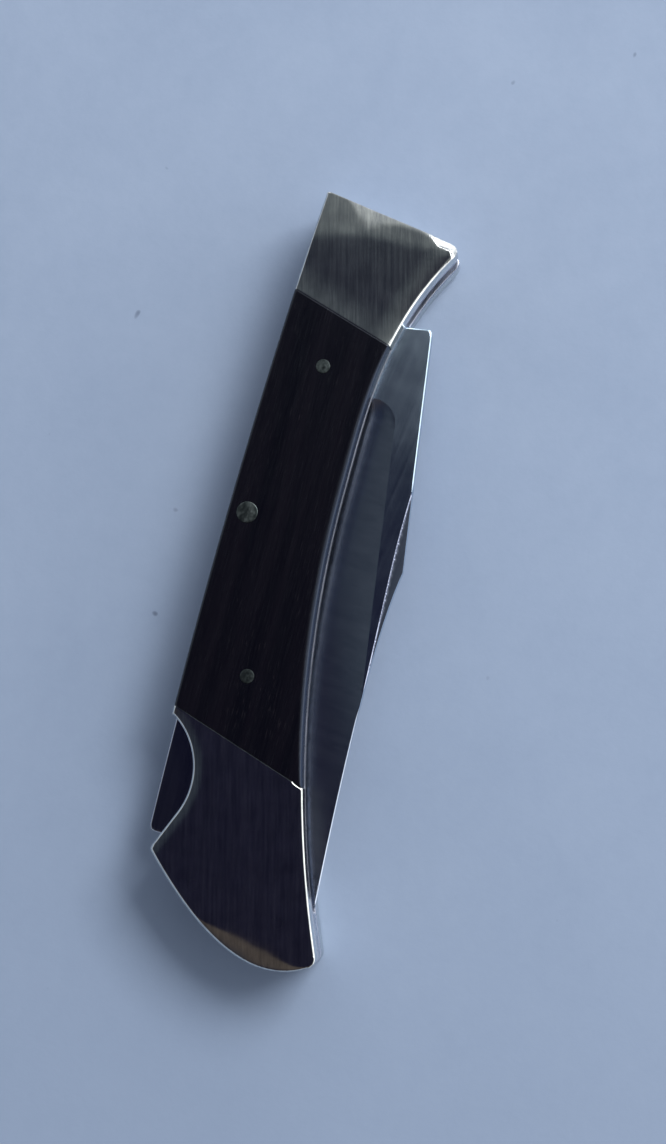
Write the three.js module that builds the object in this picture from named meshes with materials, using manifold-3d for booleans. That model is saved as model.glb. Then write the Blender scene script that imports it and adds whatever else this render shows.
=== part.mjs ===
// Folding lock-back pocket knife, stored closed and lying on its left side.
// Units are millimetres. The origin is on the blade's pivot axis, at the level that the knife lies on.
// +X runs forward, the way the open blade points, +Y towards the spine, +Z up through the right-hand cover.

import * as THREE from 'three';
import { mergeVertices } from 'three/addons/utils/BufferGeometryUtils.js';
import Module from 'manifold-3d';

const wasm = await Module();
wasm.setup();

const degrees = Math.PI / 180;

// Main sizes: how far the handle reaches behind the pivot, and in front of it along the spine
const rearReach = 98.9;
const frontReach = 8.0;

// Layers, from the left cover up to the right one
const coverThickness = 3.2;
const linerThickness = 1.1;
const bladeThickness = 2.8;
const bladeSideGap = 0.1;
const channelPartGap = 0.05;

// Handle outline
const frontSlant = 9.7 * degrees;
const spineCrownY = 10.85;
const spineCrownSetback = 46.9;
const spineRadius = 1030;
const gripY = -4.1;
const gripSetback = 65.9;
const gripFlat = 3;
const bellyRadius = 155;
const guardDepth = 11.6;
const guardRounding = 2.1;
const buttTipSetback = 11.55;
const buttTipDrop = 1.45;
const buttTipRun = new THREE.Vector2(-10.9, -10.8);
const buttCornerSetback = 2.4;
const buttCornerRun = new THREE.Vector2(-5.4, 7.1);
const buttCornerRounding = 1.2;
const thumbNotchSetback = 21.3;
const thumbNotchRadius = 10.35;
const thumbNotchDepth = 4.95;

// Seams between the bolsters and the wood, slanted alike; the rear one starts just ahead of the thumb notch
const seamSlant = 17.5 * degrees;
const frontSeamX = -6.67;
const rearSeamAhead = 9.9;
const seamLevel = 10;
const seamGap = 0.04;

// Edges of the covers: a small bevel on the bolsters, a rounding on the wood
const bolsterBevel = 0.25;
const woodEdgeHeight = 0.6;
const woodEdgeAtSeam = 0.2;
const woodEdgeAtGrip = 0.9;
const woodSpineEdge = 0.3;

// Blade, in its own axes: along from the pivot towards the tip, up towards its spine
const tipSetback = 7.9;
const tipHeight = 2.35;
const bladeSpine = 8.87;
const bladeEdge = -3.4;
const bladeEdgeWidth = 0.3;
const shoulderX = 8.2;
const shoulderFoot = 4.75;
const shoulderRounding = 0.6;
const ricassoEnd = 18.9;
const plungeRun = 3.6;
const grindTop = 5.3;
const hollowPower = 1.6;
const clipLength = 48;
const clipBendRun = 11.3;
const clipBendHeight = 5.2;
const edgeCurveLength = 33;
const edgeCurveBendLength = 9;
const swedgeRise = 11.7;
const swedgeRun = 18;
const swedgeWidth = 1.65;
const swedgeSlope = 0.33;
const tipBlunting = 0.4;
const camRadius = 5.0;
const cornerUnderTang = 2.62;
const kickLength = 3;
const kickRamp = 0.8;
const kickGap = 0.1;
const closedAngle = -172 * degrees;

// Lock bar, which rocks on its pin
const rockerSetback = 59.95;
const rockerY = 8.0;
const barEndAhead = 2.05;
const barEndRounding = 1.0;
const barUnderside = 5.6;
const noseUnderside = 6.0;
const noseSetback = 0.2;
const noseThinning = 2;
const lugRearX = -2.6;
const lugFrontX = 0.2;
const lugBacking = 4;
const lugRideGap = 0.1;
const lugSideGap = 0.06;
const lockDrop = 1.2 * degrees;

// Spacer and leaf spring in the rear of the channel
const spacerBarGap = 0.3;
const spacerLedge = 4.7;
const spacerArmTop = 3.9;
const spacerArmBottom = -0.2;
const spacerArmOverhang = 2.8;
const spacerTipGap = 0.6;
const spacerEdgeGap = 0.9;
const springThickness = 0.9;
const springReach = 11;
const springTipGap = 0.25;
const springRootSetback = 0.8;
const springRootLength = 4.6;
const springRootDepth = 1.5;
const springSeat = 0.1;
const springLift = 0.05;

// Pins and rivets, each placed from what it goes through
const pinFit = 0.02;
const runningFit = 0.05;
const pivotRadius = 1.6;
const rockerRadius = 1.5;
const handlePinRadius = 1.0;
const rivetRadius = 0.8;
const springPinRadius = 0.6;
const frontPinBehindSeam = 9.8;
const frontPinY = 3.08;
const rearPinAheadOfSeam = 6.7;
const rearPinY = 1.92;
const upperPinFromTip = new THREE.Vector2(-3.2, -7.3);
const lowerPinFromCorner = new THREE.Vector2(4, 6.7);
const guardRivetFromFoot = new THREE.Vector2(-1.9, 4.4);
const pinSides = 24;
const hingeSides = 48;

// Levels that follow from the layers
const channelFloor = coverThickness + linerThickness;
const channelRoof = channelFloor + bladeThickness + 2 * bladeSideGap;
const rightCoverFloor = channelRoof + linerThickness;
const knifeThickness = rightCoverFloor + coverThickness;
const channelMiddle = knifeThickness / 2;

// Places along the handle that follow from its reach
const spineCrownX = spineCrownSetback - rearReach;
const gripRearX = gripSetback - rearReach;
const gripFrontX = gripRearX + gripFlat;
const buttTipX = buttTipSetback - rearReach;
const buttCornerX = buttCornerSetback - rearReach;
const thumbNotchX = thumbNotchSetback - rearReach;
const rearSeamX = thumbNotchX + rearSeamAhead;
const rockerX = rockerSetback - rearReach;
const barEndX = buttTipX + barEndAhead;
const springRootX = thumbNotchX + springRootSetback;
const springTipX = rockerX - springReach;

// Outline helpers

const point = (x, y) => new THREE.Vector2(x, y);

function spread(from, to, steps) {
  return Array.from({ length: steps + 1 }, (_, i) => from + ((to - from) * i) / steps);
}

function circlePoints(centre, radius, sides) {
  return spread(0, 2 * Math.PI, sides)
    .slice(0, sides)
    .map((a) => point(centre.x + radius * Math.cos(a), centre.y + radius * Math.sin(a)));
}

function arcPoints(centre, radius, from, to, steps) {
  return spread(from, to, steps)
    .map((a) => point(centre.x + radius * Math.cos(a), centre.y + radius * Math.sin(a)));
}

// Replaces the corner at the given index of a closed outline by a curve that reaches this far along both sides.
function roundCorner(points, index, reach, steps = 5) {
  const count = points.length;
  const corner = points[index];
  const walk = (step) => {
    let k = 1;
    while (points[(index + step * k + count) % count].distanceTo(corner) <= reach) k += 1;
    const outer = points[(index + step * k + count) % count];
    const inner = points[(index + step * (k - 1) + count) % count];
    const outerGap = outer.distanceTo(corner);
    const innerGap = inner.distanceTo(corner);
    const share = (reach - innerGap) / (outerGap - innerGap);
    return { dropped: k - 1, start: inner.clone().lerp(outer, share) };
  };
  const before = walk(-1);
  const after = walk(1);
  const curve = new THREE.QuadraticBezierCurve(before.start, corner, after.start).getPoints(steps);
  curve.forEach((p) => { p.side = corner.side; });
  const past = points.slice(index + 1 + after.dropped, Math.min(count, index + count - before.dropped));
  const ahead = points.slice(Math.max(0, index + 1 + after.dropped - count), Math.max(0, index - before.dropped));
  return [...ahead, ...curve, ...past];
}

function signedArea(points) {
  return points.reduce((sum, p, i) => {
    const q = points[(i + 1) % points.length];
    return sum + (p.x * q.y - q.x * p.y) / 2;
  }, 0);
}

// Moves each point of an anticlockwise outline inwards by its own distance.
function insetOutline(points, distanceAt) {
  const count = points.length;
  return points.map((p, i) => {
    const a = points[(i + count - 1) % count];
    const b = points[(i + 1) % count];
    const before = point(p.x - a.x, p.y - a.y).normalize();
    const after = point(b.x - p.x, b.y - p.y).normalize();
    const inward = point(-before.y - after.y, before.x + after.x).normalize();
    const mitre = Math.max(0.5, inward.x * -after.y + inward.y * after.x);
    return p.clone().addScaledVector(inward, distanceAt(p) / mitre);
  });
}

// Solid helpers

function meshSolid(positions, triangles) {
  return new wasm.Manifold(new wasm.Mesh({
    numProp: 3,
    vertProperties: Float32Array.from(positions),
    triVerts: Uint32Array.from(triangles),
  }));
}

function solidOf(geometry) {
  const bare = geometry.clone();
  bare.deleteAttribute('normal');
  bare.deleteAttribute('uv');
  const merged = mergeVertices(bare, 1e-5);
  return meshSolid(merged.attributes.position.array, merged.index.array);
}

function geometryOf(solid) {
  const mesh = solid.getMesh();
  const geometry = new THREE.BufferGeometry();
  geometry.setAttribute('position', new THREE.BufferAttribute(new Float32Array(mesh.vertProperties), 3));
  geometry.setIndex(new THREE.BufferAttribute(new Uint32Array(mesh.triVerts), 1));
  const shown = geometry.toNonIndexed();
  shown.computeVertexNormals();
  return shown;
}

function plate(points, floor, roof) {
  const shape = new THREE.Shape(points);
  const geometry = new THREE.ExtrudeGeometry(shape, { depth: roof - floor, bevelEnabled: false });
  return solidOf(geometry.translate(0, 0, floor));
}

function rod(centre, radius, floor, roof, sides = pinSides) {
  return plate(circlePoints(centre, radius, sides), floor, roof);
}

function drilled(solid, holes) {
  return holes.reduce((rest, [centre, radius, sides]) => (
    rest.subtract(rod(centre, radius, -1, knifeThickness + 1, sides))
  ), solid);
}

// A plate whose outline changes from level to level: levels lists { z, points } upwards.
function layeredPlate(levels) {
  const count = levels[0].points.length;
  const positions = levels.flatMap(({ z, points }) => points.flatMap((p) => [p.x, p.y, z]));
  const triangles = [];
  for (let level = 0; level < levels.length - 1; level += 1) {
    for (let i = 0; i < count; i += 1) {
      const a = level * count + i;
      const b = level * count + ((i + 1) % count);
      triangles.push(a, b, b + count, a, b + count, a + count);
    }
  }
  const top = (levels.length - 1) * count;
  THREE.ShapeUtils.triangulateShape(levels[0].points, []).forEach(([a, b, c]) => triangles.push(a, c, b));
  THREE.ShapeUtils.triangulateShape(levels[levels.length - 1].points, [])
    .forEach(([a, b, c]) => triangles.push(top + a, top + b, top + c));
  return meshSolid(positions, triangles);
}

// Handle outline

const spineAt = (x) => spineCrownY - (spineRadius - Math.sqrt(spineRadius ** 2 - (x - spineCrownX) ** 2));
const frontTopY = spineAt(frontReach);
const frontEdgeX = (y) => frontReach - Math.tan(frontSlant) * (frontTopY - y);
const guardX = frontEdgeX(-guardDepth);
const guardDrop = guardDepth + gripY;

function bellyAt(x) {
  if (x > gripFrontX) return gripY - guardDrop * ((x - gripFrontX) / (guardX - gripFrontX)) ** 3;
  if (x < gripRearX) return gripY - bellyRadius + Math.sqrt(bellyRadius ** 2 - (x - gripRearX) ** 2);
  return gripY;
}

const buttTip = point(buttTipX, spineAt(buttTipX) - buttTipDrop);
const buttCorner = point(buttCornerX, bellyAt(buttCornerX));

const pivot = point(0, 0);
const rocker = point(rockerX, rockerY);
const frontPin = point(frontSeamX - frontPinBehindSeam, frontPinY);
const rearPin = point(rearSeamX + rearPinAheadOfSeam, rearPinY);
const upperBolsterPin = buttTip.clone().add(upperPinFromTip);
const lowerBolsterPin = buttCorner.clone().add(lowerPinFromCorner);
const guardRivet = point(guardX, -guardDepth).add(guardRivetFromFoot);
const springPin = point(springRootX + springRootLength / 2, spacerArmTop + springLift - springRootDepth / 2);

// The thumb notch is an arc from the spine, then a line that leaves it for the butt's tip.
const notchCentre = point(thumbNotchX, spineAt(thumbNotchX) - thumbNotchDepth + thumbNotchRadius);
const notchRise = Math.asin((notchCentre.y - spineAt(thumbNotchX)) / thumbNotchRadius);
const notchFrontX = thumbNotchX + thumbNotchRadius * Math.cos(notchRise);
const tipBearing = Math.atan2(buttTip.y - notchCentre.y, buttTip.x - notchCentre.x) + 2 * Math.PI;
const tipReach = buttTip.distanceTo(notchCentre);
const notchRearAngle = tipBearing + Math.acos(Math.min(1, thumbNotchRadius / tipReach));

function tagged(side, points) {
  points.forEach((p) => { p.side = side; });
  return points;
}

const buttCurve = new THREE.CubicBezierCurve(
  buttTip,
  buttTip.clone().add(buttTipRun),
  buttCorner.clone().add(buttCornerRun),
  buttCorner,
);

// From the front of the spine back to the butt, and forward again along the belly
function handleOutline() {
  const points = [
    ...tagged('spine', spread(frontReach, notchFrontX, 18).slice(0, 18).map((x) => point(x, spineAt(x)))),
    ...tagged('notch', arcPoints(notchCentre, thumbNotchRadius, 2 * Math.PI - notchRise, notchRearAngle, 14)),
    ...tagged('butt', buttCurve.getPoints(18)),
    ...tagged('belly', spread(buttCornerX, gripRearX, 24).slice(1).map((x) => point(x, bellyAt(x)))),
    ...tagged('belly', spread(gripFrontX, guardX, 16).map((x) => point(x, bellyAt(x)))),
  ];
  const atGuard = roundCorner(points, points.length - 1, guardRounding);
  const cornerIndex = atGuard.findIndex((p) => p.distanceTo(buttCorner) < 1e-9);
  return roundCorner(atGuard, cornerIndex, buttCornerRounding);
}

const outline = handleOutline();

const seamAt = (seamX, y) => seamX - Math.tan(seamSlant) * (seamLevel - y);
const farAway = 200;

// Everything between two seams; a seam may be left out at an end.
function zone(rearSeam, frontSeam) {
  const rear = (y) => (rearSeam === null ? -farAway : seamAt(rearSeam + seamGap / 2, y));
  const front = (y) => (frontSeam === null ? farAway : seamAt(frontSeam - seamGap / 2, y));
  const high = seamLevel + farAway / 4;
  const low = seamLevel - farAway / 4;
  return plate([
    point(rear(low), low), point(front(low), low), point(front(high), high), point(rear(high), high),
  ], -1, knifeThickness + 1);
}

// Covers: bolsters and wood are cut from full-length slabs with worked edges.

function coverSlab(isRight, edgeHeight, edgeWidth, steps) {
  const base = isRight ? rightCoverFloor : coverThickness;
  const face = isRight ? knifeThickness : 0;
  const outwards = isRight ? 1 : -1;
  const edgeLevels = spread(0, Math.PI / 2, steps).map((a) => ({
    z: face - outwards * edgeHeight * (1 - (steps === 1 ? a / (Math.PI / 2) : Math.sin(a))),
    points: insetOutline(outline, (p) => edgeWidth(p) * (steps === 1 ? a / (Math.PI / 2) : 1 - Math.cos(a))),
  }));
  const levels = [{ z: base, points: outline }, ...edgeLevels];
  return layeredPlate(isRight ? levels : levels.reverse());
}

const bevelledSlab = (isRight) => coverSlab(isRight, bolsterBevel, () => bolsterBevel, 1);

// The wood's belly edge is sanded rounder in the middle of the grip than at its seams.
function woodEdge(p) {
  if (p.side !== 'belly') return woodSpineEdge;
  const front = seamAt(frontSeamX, p.y);
  const share = THREE.MathUtils.clamp((front - p.x) / (front - seamAt(rearSeamX, p.y)), 0, 1);
  return woodEdgeAtSeam + (woodEdgeAtGrip - woodEdgeAtSeam) * Math.sqrt(Math.sin(Math.PI * share));
}

const roundedSlab = (isRight) => coverSlab(isRight, woodEdgeHeight, woodEdge, 3);

const frontBolster = (isRight) => drilled(
  bevelledSlab(isRight).intersect(zone(frontSeamX, null)),
  [[pivot, pivotRadius + pinFit, hingeSides], [guardRivet, rivetRadius + pinFit]],
);

const woodScale = (isRight) => drilled(
  roundedSlab(isRight).intersect(zone(rearSeamX, frontSeamX)),
  [
    [frontPin, handlePinRadius + pinFit],
    [rocker, rockerRadius + pinFit, hingeSides],
    [rearPin, handlePinRadius + pinFit],
  ],
);

const rearBolster = (isRight) => drilled(
  bevelledSlab(isRight).intersect(zone(null, rearSeamX)),
  [[upperBolsterPin, rivetRadius + pinFit], [lowerBolsterPin, rivetRadius + pinFit]],
);

// Liners run the whole length of the handle.

const liner = (isRight) => drilled(
  plate(
    outline,
    isRight ? channelRoof : coverThickness,
    isRight ? rightCoverFloor : channelFloor,
  ),
  [
    [pivot, pivotRadius + pinFit, hingeSides],
    [rocker, rockerRadius + pinFit, hingeSides],
    [frontPin, handlePinRadius + pinFit],
    [rearPin, handlePinRadius + pinFit],
    [upperBolsterPin, rivetRadius + pinFit],
    [lowerBolsterPin, rivetRadius + pinFit],
    [guardRivet, rivetRadius + pinFit],
    [springPin, springPinRadius + pinFit],
  ],
);

// Lock bar: its top lies on the handle's spine, and its lug rides just clear of the tang's cam.

const lugFootRadius = camRadius + lugRideGap;
const lugFoot = (x) => Math.sqrt(lugFootRadius ** 2 - x ** 2);

function lockBar() {
  const noseX = frontEdgeX(frontTopY) - noseSetback;
  const noseFootX = frontEdgeX(noseUnderside) - noseSetback;
  const points = [
    ...spread(noseX, barEndX, 24).map((x) => point(x, spineAt(x))),
    point(barEndX, barUnderside),
    point(lugRearX - lugBacking - noseThinning, barUnderside),
    point(lugRearX - lugBacking, noseUnderside),
    point(lugRearX, noseUnderside),
    ...spread(lugRearX, lugFrontX, 4).map((x) => point(x, lugFoot(x))),
    point(lugFrontX, noseUnderside),
    point(noseFootX, noseUnderside),
  ];
  const shape = roundCorner(points, 24, barEndRounding);
  const solid = plate(shape, channelFloor + channelPartGap, channelRoof - channelPartGap);
  return drilled(solid, [[rocker, rockerRadius + runningFit, hingeSides]]);
}

// Blade, drawn flat in its own axes and centred on its own thickness

const halfBlade = bladeThickness / 2;
const tip = point(rearReach - tipSetback, tipHeight);
const clipStart = tip.x - clipLength;
const swedgeStart = clipStart - swedgeRise;
const swedgeEnd = clipStart + swedgeRun;
const edgeCurveStart = tip.x - edgeCurveLength;
const clipCurve = new THREE.QuadraticBezierCurve(
  point(clipStart, bladeSpine),
  point(clipStart + clipBendRun, clipBendHeight),
  tip,
);
const edgeCurve = new THREE.QuadraticBezierCurve(
  point(edgeCurveStart, bladeEdge),
  point(tip.x - edgeCurveBendLength, bladeEdge),
  tip,
);

// The height of a curve at a place along the blade
function heightOn(curve, along) {
  let low = 0;
  let high = 1;
  for (let i = 0; i < 40; i += 1) {
    const middle = (low + high) / 2;
    if (curve.getPoint(middle).x < along) low = middle;
    else high = middle;
  }
  return curve.getPoint((low + high) / 2).y;
}

const spineOf = (along) => (along <= clipStart ? bladeSpine : heightOn(clipCurve, along));
const edgeOf = (along) => (along <= edgeCurveStart ? bladeEdge : heightOn(edgeCurve, along));

// The swedge's lower line curves down to its full width at the clip's start, then runs straight to meet the clip.
const swedgeLow = point(clipStart, bladeSpine - swedgeWidth);
const swedgeFall = (swedgeLow.y - spineOf(swedgeEnd)) / (swedgeEnd - clipStart);
const swedgeBendX = (swedgeStart + clipStart) / 2;
const swedgeCurve = new THREE.QuadraticBezierCurve(
  point(swedgeStart, bladeSpine),
  point(swedgeBendX, swedgeLow.y + swedgeFall * (clipStart - swedgeBendX)),
  swedgeLow,
);

function swedgeLineOf(along) {
  if (along <= swedgeStart || along >= swedgeEnd) return spineOf(along);
  if (along <= clipStart) return heightOn(swedgeCurve, along);
  return Math.min(spineOf(along), swedgeLow.y - swedgeFall * (along - clipStart));
}

// The hollow grind starts at the plunge, whose upper corner is a quarter circle.
function grindLineOf(along) {
  if (along <= ricassoEnd) return edgeOf(along);
  const fromCorner = Math.max(0, 1 - (along - ricassoEnd) / plungeRun);
  const line = grindTop - plungeRun * (1 - Math.sqrt(1 - fromCorner ** 2));
  return Math.min(swedgeLineOf(along), line);
}

function hollowHalf(along, height) {
  const foot = edgeOf(along);
  const share = Math.min(1, Math.max(0, (height - foot) / (grindTop - foot)));
  const ground = bladeEdgeWidth / 2 + (halfBlade - bladeEdgeWidth / 2) * share ** hollowPower;
  const ramp = Math.min(1, Math.max(0, (along - ricassoEnd) / (0.6 * plungeRun)));
  return halfBlade - (halfBlade - ground) * ramp * ramp * (3 - 2 * ramp);
}

function bladeSection(along) {
  const spine = spineOf(along);
  const swedge = swedgeLineOf(along);
  const grind = grindLineOf(along);
  const foot = edgeOf(along);
  const bevelled = hollowHalf(along, spine) - swedgeSlope * (spine - swedge);
  const rows = [
    [spine, Math.max(bladeEdgeWidth / 2, bevelled)],
    [swedge, hollowHalf(along, swedge)],
    [grind, hollowHalf(along, grind)],
  ];
  [0.78, 0.52, 0.26, 0].forEach((share) => {
    const height = foot + (grind - foot) * share;
    rows.push([height, hollowHalf(along, height)]);
  });
  const right = rows.map(([height, half]) => [along, height, half]);
  const left = rows.map(([height, half]) => [along, height, -half]).reverse();
  return [...right, ...left];
}

function groundBlade() {
  const stations = [
    ricassoEnd - shoulderRounding,
    ricassoEnd,
    ...[0.03, 0.12, 0.3, 0.6, 1].map((share) => ricassoEnd + plungeRun * share),
    ...spread(ricassoEnd + 2 * plungeRun, clipStart, 5),
    ...spread(clipStart, swedgeEnd, 6).slice(1),
    ...spread(swedgeEnd, tip.x - tipBlunting, 12).slice(1),
  ];
  const sections = stations.map(bladeSection);
  const count = sections[0].length;
  const triangles = [];
  for (let s = 0; s < sections.length - 1; s += 1) {
    for (let i = 0; i < count; i += 1) {
      const a = s * count + i;
      const b = s * count + ((i + 1) % count);
      triangles.push([a, b, b + count], [a, b + count, a + count]);
    }
  }
  const end = (sections.length - 1) * count;
  for (let i = 0; i < count / 2 - 1; i += 1) {
    const j = count - 1 - i;
    triangles.push([i, j - 1, i + 1], [i, j, j - 1]);
    triangles.push([end + i, end + i + 1, end + j - 1], [end + i, end + j - 1, end + j]);
  }
  const geometry = new THREE.BufferGeometry();
  geometry.setAttribute('position', new THREE.Float32BufferAttribute(sections.flat(2), 3));
  geometry.setIndex(triangles.flat());
  const merged = mergeVertices(geometry, 1e-4);
  const index = Array.from(merged.index.array);
  const kept = [];
  for (let i = 0; i < index.length; i += 3) {
    const [a, b, c] = index.slice(i, i + 3);
    if (a !== b && b !== c && c !== a) kept.push(a, b, c);
  }
  return meshSolid(merged.attributes.position.array, kept);
}

// The tang, from the cam round the pivot to the end of the ricasso. Its notch has room for the lug as it lies there
// once the bar has rocked down, and its kick stops the closing blade on the front handle pin.
function tangOutline() {
  const lowered = (x) => point(x, lugFoot(x)).rotateAround(rocker, -lockDrop);
  const notchRear = lowered(lugRearX).x - lugSideGap;
  const notchFront = lugFrontX + lugSideGap;
  const notchFloor = spread(lugFrontX, lugRearX, 4).map(lowered);
  notchFloor.forEach((p) => { p.y -= lugRideGap; });
  notchFloor[0].x = notchFront;
  notchFloor[4].x = notchRear;
  const notchRearOnCam = Math.acos(notchRear / camRadius);
  const flatOnCam = 2 * Math.PI - Math.acos(-cornerUnderTang / camRadius);
  const stop = frontPin.clone().rotateAround(pivot, -closedAngle);
  const kickFoot = stop.y + handlePinRadius + kickGap;
  const kickFrom = stop.x - kickLength / 2;
  const kickTo = stop.x + kickLength / 2;
  const points = [
    point(shoulderX, bladeSpine),
    point(shoulderX, shoulderFoot),
    point(notchFront, shoulderFoot),
    ...notchFloor,
    ...arcPoints(pivot, camRadius, notchRearOnCam, flatOnCam, 16),
    point(camRadius, bladeEdge),
    point(kickFrom - kickRamp, bladeEdge),
    point(kickFrom, kickFoot),
    point(kickTo, kickFoot),
    point(kickTo + kickRamp, bladeEdge),
    point(ricassoEnd, bladeEdge),
    point(ricassoEnd, bladeSpine),
  ];
  return roundCorner(points, 0, shoulderRounding);
}

function blade() {
  const tang = plate(tangOutline(), -halfBlade, halfBlade);
  const whole = tang.add(groundBlade());
  return whole.subtract(rod(pivot, pivotRadius + runningFit, -bladeThickness, bladeThickness, hingeSides));
}

// Rear spacer: fills the butt between the liners, clear of the closed blade's edge and the lock bar.

function rearSpacer() {
  const wallX = barEndX - spacerBarGap;
  const armEndX = rearPin.x + spacerArmOverhang;
  const pocketFront = springRootX + springRootLength + springSeat;
  const pocketRear = springRootX - springSeat;
  const pocketFloor = spacerArmTop + springLift - springRootDepth - springSeat;
  const onNotch = outline.filter((p) => p.side === 'notch' && p.x < wallX);
  const onButt = outline.filter((p) => p.side === 'butt');
  const closed = (x, y) => point(x, y).rotateAround(pivot, closedAngle);
  const spacerFootX = closed(tip.x, tip.y).x - spacerTipGap;
  const alongEdge = spread(tip.x, edgeCurveStart, 5).slice(0, 5)
    .map((x) => closed(x, edgeOf(x - tipBlunting) - spacerEdgeGap));
  const onBelly = outline.filter((p) => p.side === 'belly' && p.x < spacerFootX);
  const lastArc = outline.filter((p) => p.side === 'notch' && p.x >= wallX).pop();
  const firstPast = onNotch.length ? onNotch[0] : buttTip;
  const share = (lastArc.x - wallX) / (lastArc.x - firstPast.x);
  const points = [
    lastArc.clone().lerp(firstPast, share),
    ...onNotch,
    ...onButt,
    ...onBelly,
    point(spacerFootX, bellyAt(spacerFootX)),
    ...alongEdge,
    point(rearPin.x - spacerArmOverhang, spacerArmBottom),
    point(armEndX, spacerArmBottom),
    point(armEndX, spacerArmTop),
    point(pocketFront, spacerArmTop),
    point(pocketFront, pocketFloor),
    point(pocketRear, pocketFloor),
    point(pocketRear, spacerLedge),
    point(wallX, spacerLedge),
  ];
  return drilled(plate(points, channelFloor, channelRoof), [
    [rearPin, handlePinRadius + pinFit],
    [upperBolsterPin, rivetRadius + pinFit],
    [lowerBolsterPin, rivetRadius + pinFit],
  ]);
}

// Leaf spring: its root is pinned in the spacer's pocket, and its tip presses the bar behind the rocker pin.

function leafSpring() {
  const foot = spacerArmTop + springLift;
  const rootFront = springRootX + springRootLength;
  const tipTop = barUnderside - springTipGap;
  const points = [
    point(springRootX, foot - springRootDepth),
    point(rootFront, foot - springRootDepth),
    point(rootFront, foot),
    point(springTipX, tipTop - springThickness),
    point(springTipX, tipTop),
    point(rootFront, foot + springThickness),
    point(springRootX, foot + springThickness),
  ];
  const solid = plate(points, channelFloor + channelPartGap, channelRoof - channelPartGap);
  return drilled(solid, [[springPin, springPinRadius + pinFit]]);
}

// Materials

function metal(color, roughness) {
  return new THREE.MeshStandardMaterial({ color, roughness, metalness: 1 });
}

const nickelSilver = metal(0xa39e90, 0.32);
const bladeSteel = metal(0x8f979f, 0.3);
const springSteel = metal(0x7d838a, 0.4);
const linerBrass = metal(0x9a968a, 0.4);
const pinNickel = metal(0x8a8d80, 0.5);
const darkWood = new THREE.MeshStandardMaterial({ color: 0x191519, roughness: 0.55, metalness: 0 });

// Assembly

const knife = new THREE.Group();

function addPiece(name, solid, material) {
  const mesh = new THREE.Mesh(geometryOf(solid), material);
  mesh.name = name;
  knife.add(mesh);
  return mesh;
}

[['right', true], ['left', false]].forEach(([side, isRight]) => {
  addPiece(`${side}_front_bolster`, frontBolster(isRight), nickelSilver);
  addPiece(`${side}_wood_scale`, woodScale(isRight), darkWood);
  addPiece(`${side}_rear_bolster`, rearBolster(isRight), nickelSilver);
  addPiece(`${side}_liner`, liner(isRight), linerBrass);
  const rivetFloor = isRight ? channelRoof : 0;
  const rivetRoof = isRight ? knifeThickness : channelFloor;
  addPiece(`${side}_guard_rivet`, rod(guardRivet, rivetRadius, rivetFloor, rivetRoof), nickelSilver);
});

const bladeMesh = addPiece('blade', blade(), bladeSteel);
bladeMesh.position.z = channelMiddle;
bladeMesh.rotation.z = closedAngle;

addPiece('lock_bar', lockBar(), springSteel);
addPiece('lock_spring', leafSpring(), springSteel);
addPiece('rear_spacer', rearSpacer(), linerBrass);

addPiece('pivot_pin', rod(pivot, pivotRadius, 0, knifeThickness, hingeSides), nickelSilver);
addPiece('rocker_pin', rod(rocker, rockerRadius, 0, knifeThickness, hingeSides), pinNickel);
addPiece('front_handle_pin', rod(frontPin, handlePinRadius, 0, knifeThickness), pinNickel);
addPiece('rear_handle_pin', rod(rearPin, handlePinRadius, 0, knifeThickness), pinNickel);
addPiece('upper_bolster_pin', rod(upperBolsterPin, rivetRadius, 0, knifeThickness), nickelSilver);
addPiece('lower_bolster_pin', rod(lowerBolsterPin, rivetRadius, 0, knifeThickness), nickelSilver);
addPiece('spring_pin', rod(springPin, springPinRadius, coverThickness, rightCoverFloor), pinNickel);

export default knife;
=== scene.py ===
"""The looks of the folding pocket knife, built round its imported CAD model.

Helpers work in the CAD's millimetres, in the row's frame: x forward from the pivot, y to the spine, z up.
Materials, the paper, the lamp and the camera are in metres.
"""

import math

import bmesh
import bpy
import numpy as np
from mathutils import Matrix, Vector
from mathutils.geometry import delaunay_2d_cdt


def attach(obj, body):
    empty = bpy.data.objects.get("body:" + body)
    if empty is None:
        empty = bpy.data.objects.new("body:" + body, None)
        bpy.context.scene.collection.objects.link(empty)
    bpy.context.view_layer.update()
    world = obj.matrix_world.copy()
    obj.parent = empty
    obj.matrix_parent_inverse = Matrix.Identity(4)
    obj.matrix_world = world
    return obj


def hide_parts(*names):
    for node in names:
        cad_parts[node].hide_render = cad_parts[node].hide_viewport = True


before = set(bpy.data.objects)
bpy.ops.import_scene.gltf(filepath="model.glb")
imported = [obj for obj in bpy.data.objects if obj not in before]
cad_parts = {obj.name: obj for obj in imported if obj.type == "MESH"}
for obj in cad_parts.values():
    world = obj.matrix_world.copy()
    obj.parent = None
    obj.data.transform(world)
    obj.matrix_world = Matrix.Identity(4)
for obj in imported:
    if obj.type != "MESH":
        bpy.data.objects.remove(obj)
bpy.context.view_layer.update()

MM = 0.001

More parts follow.
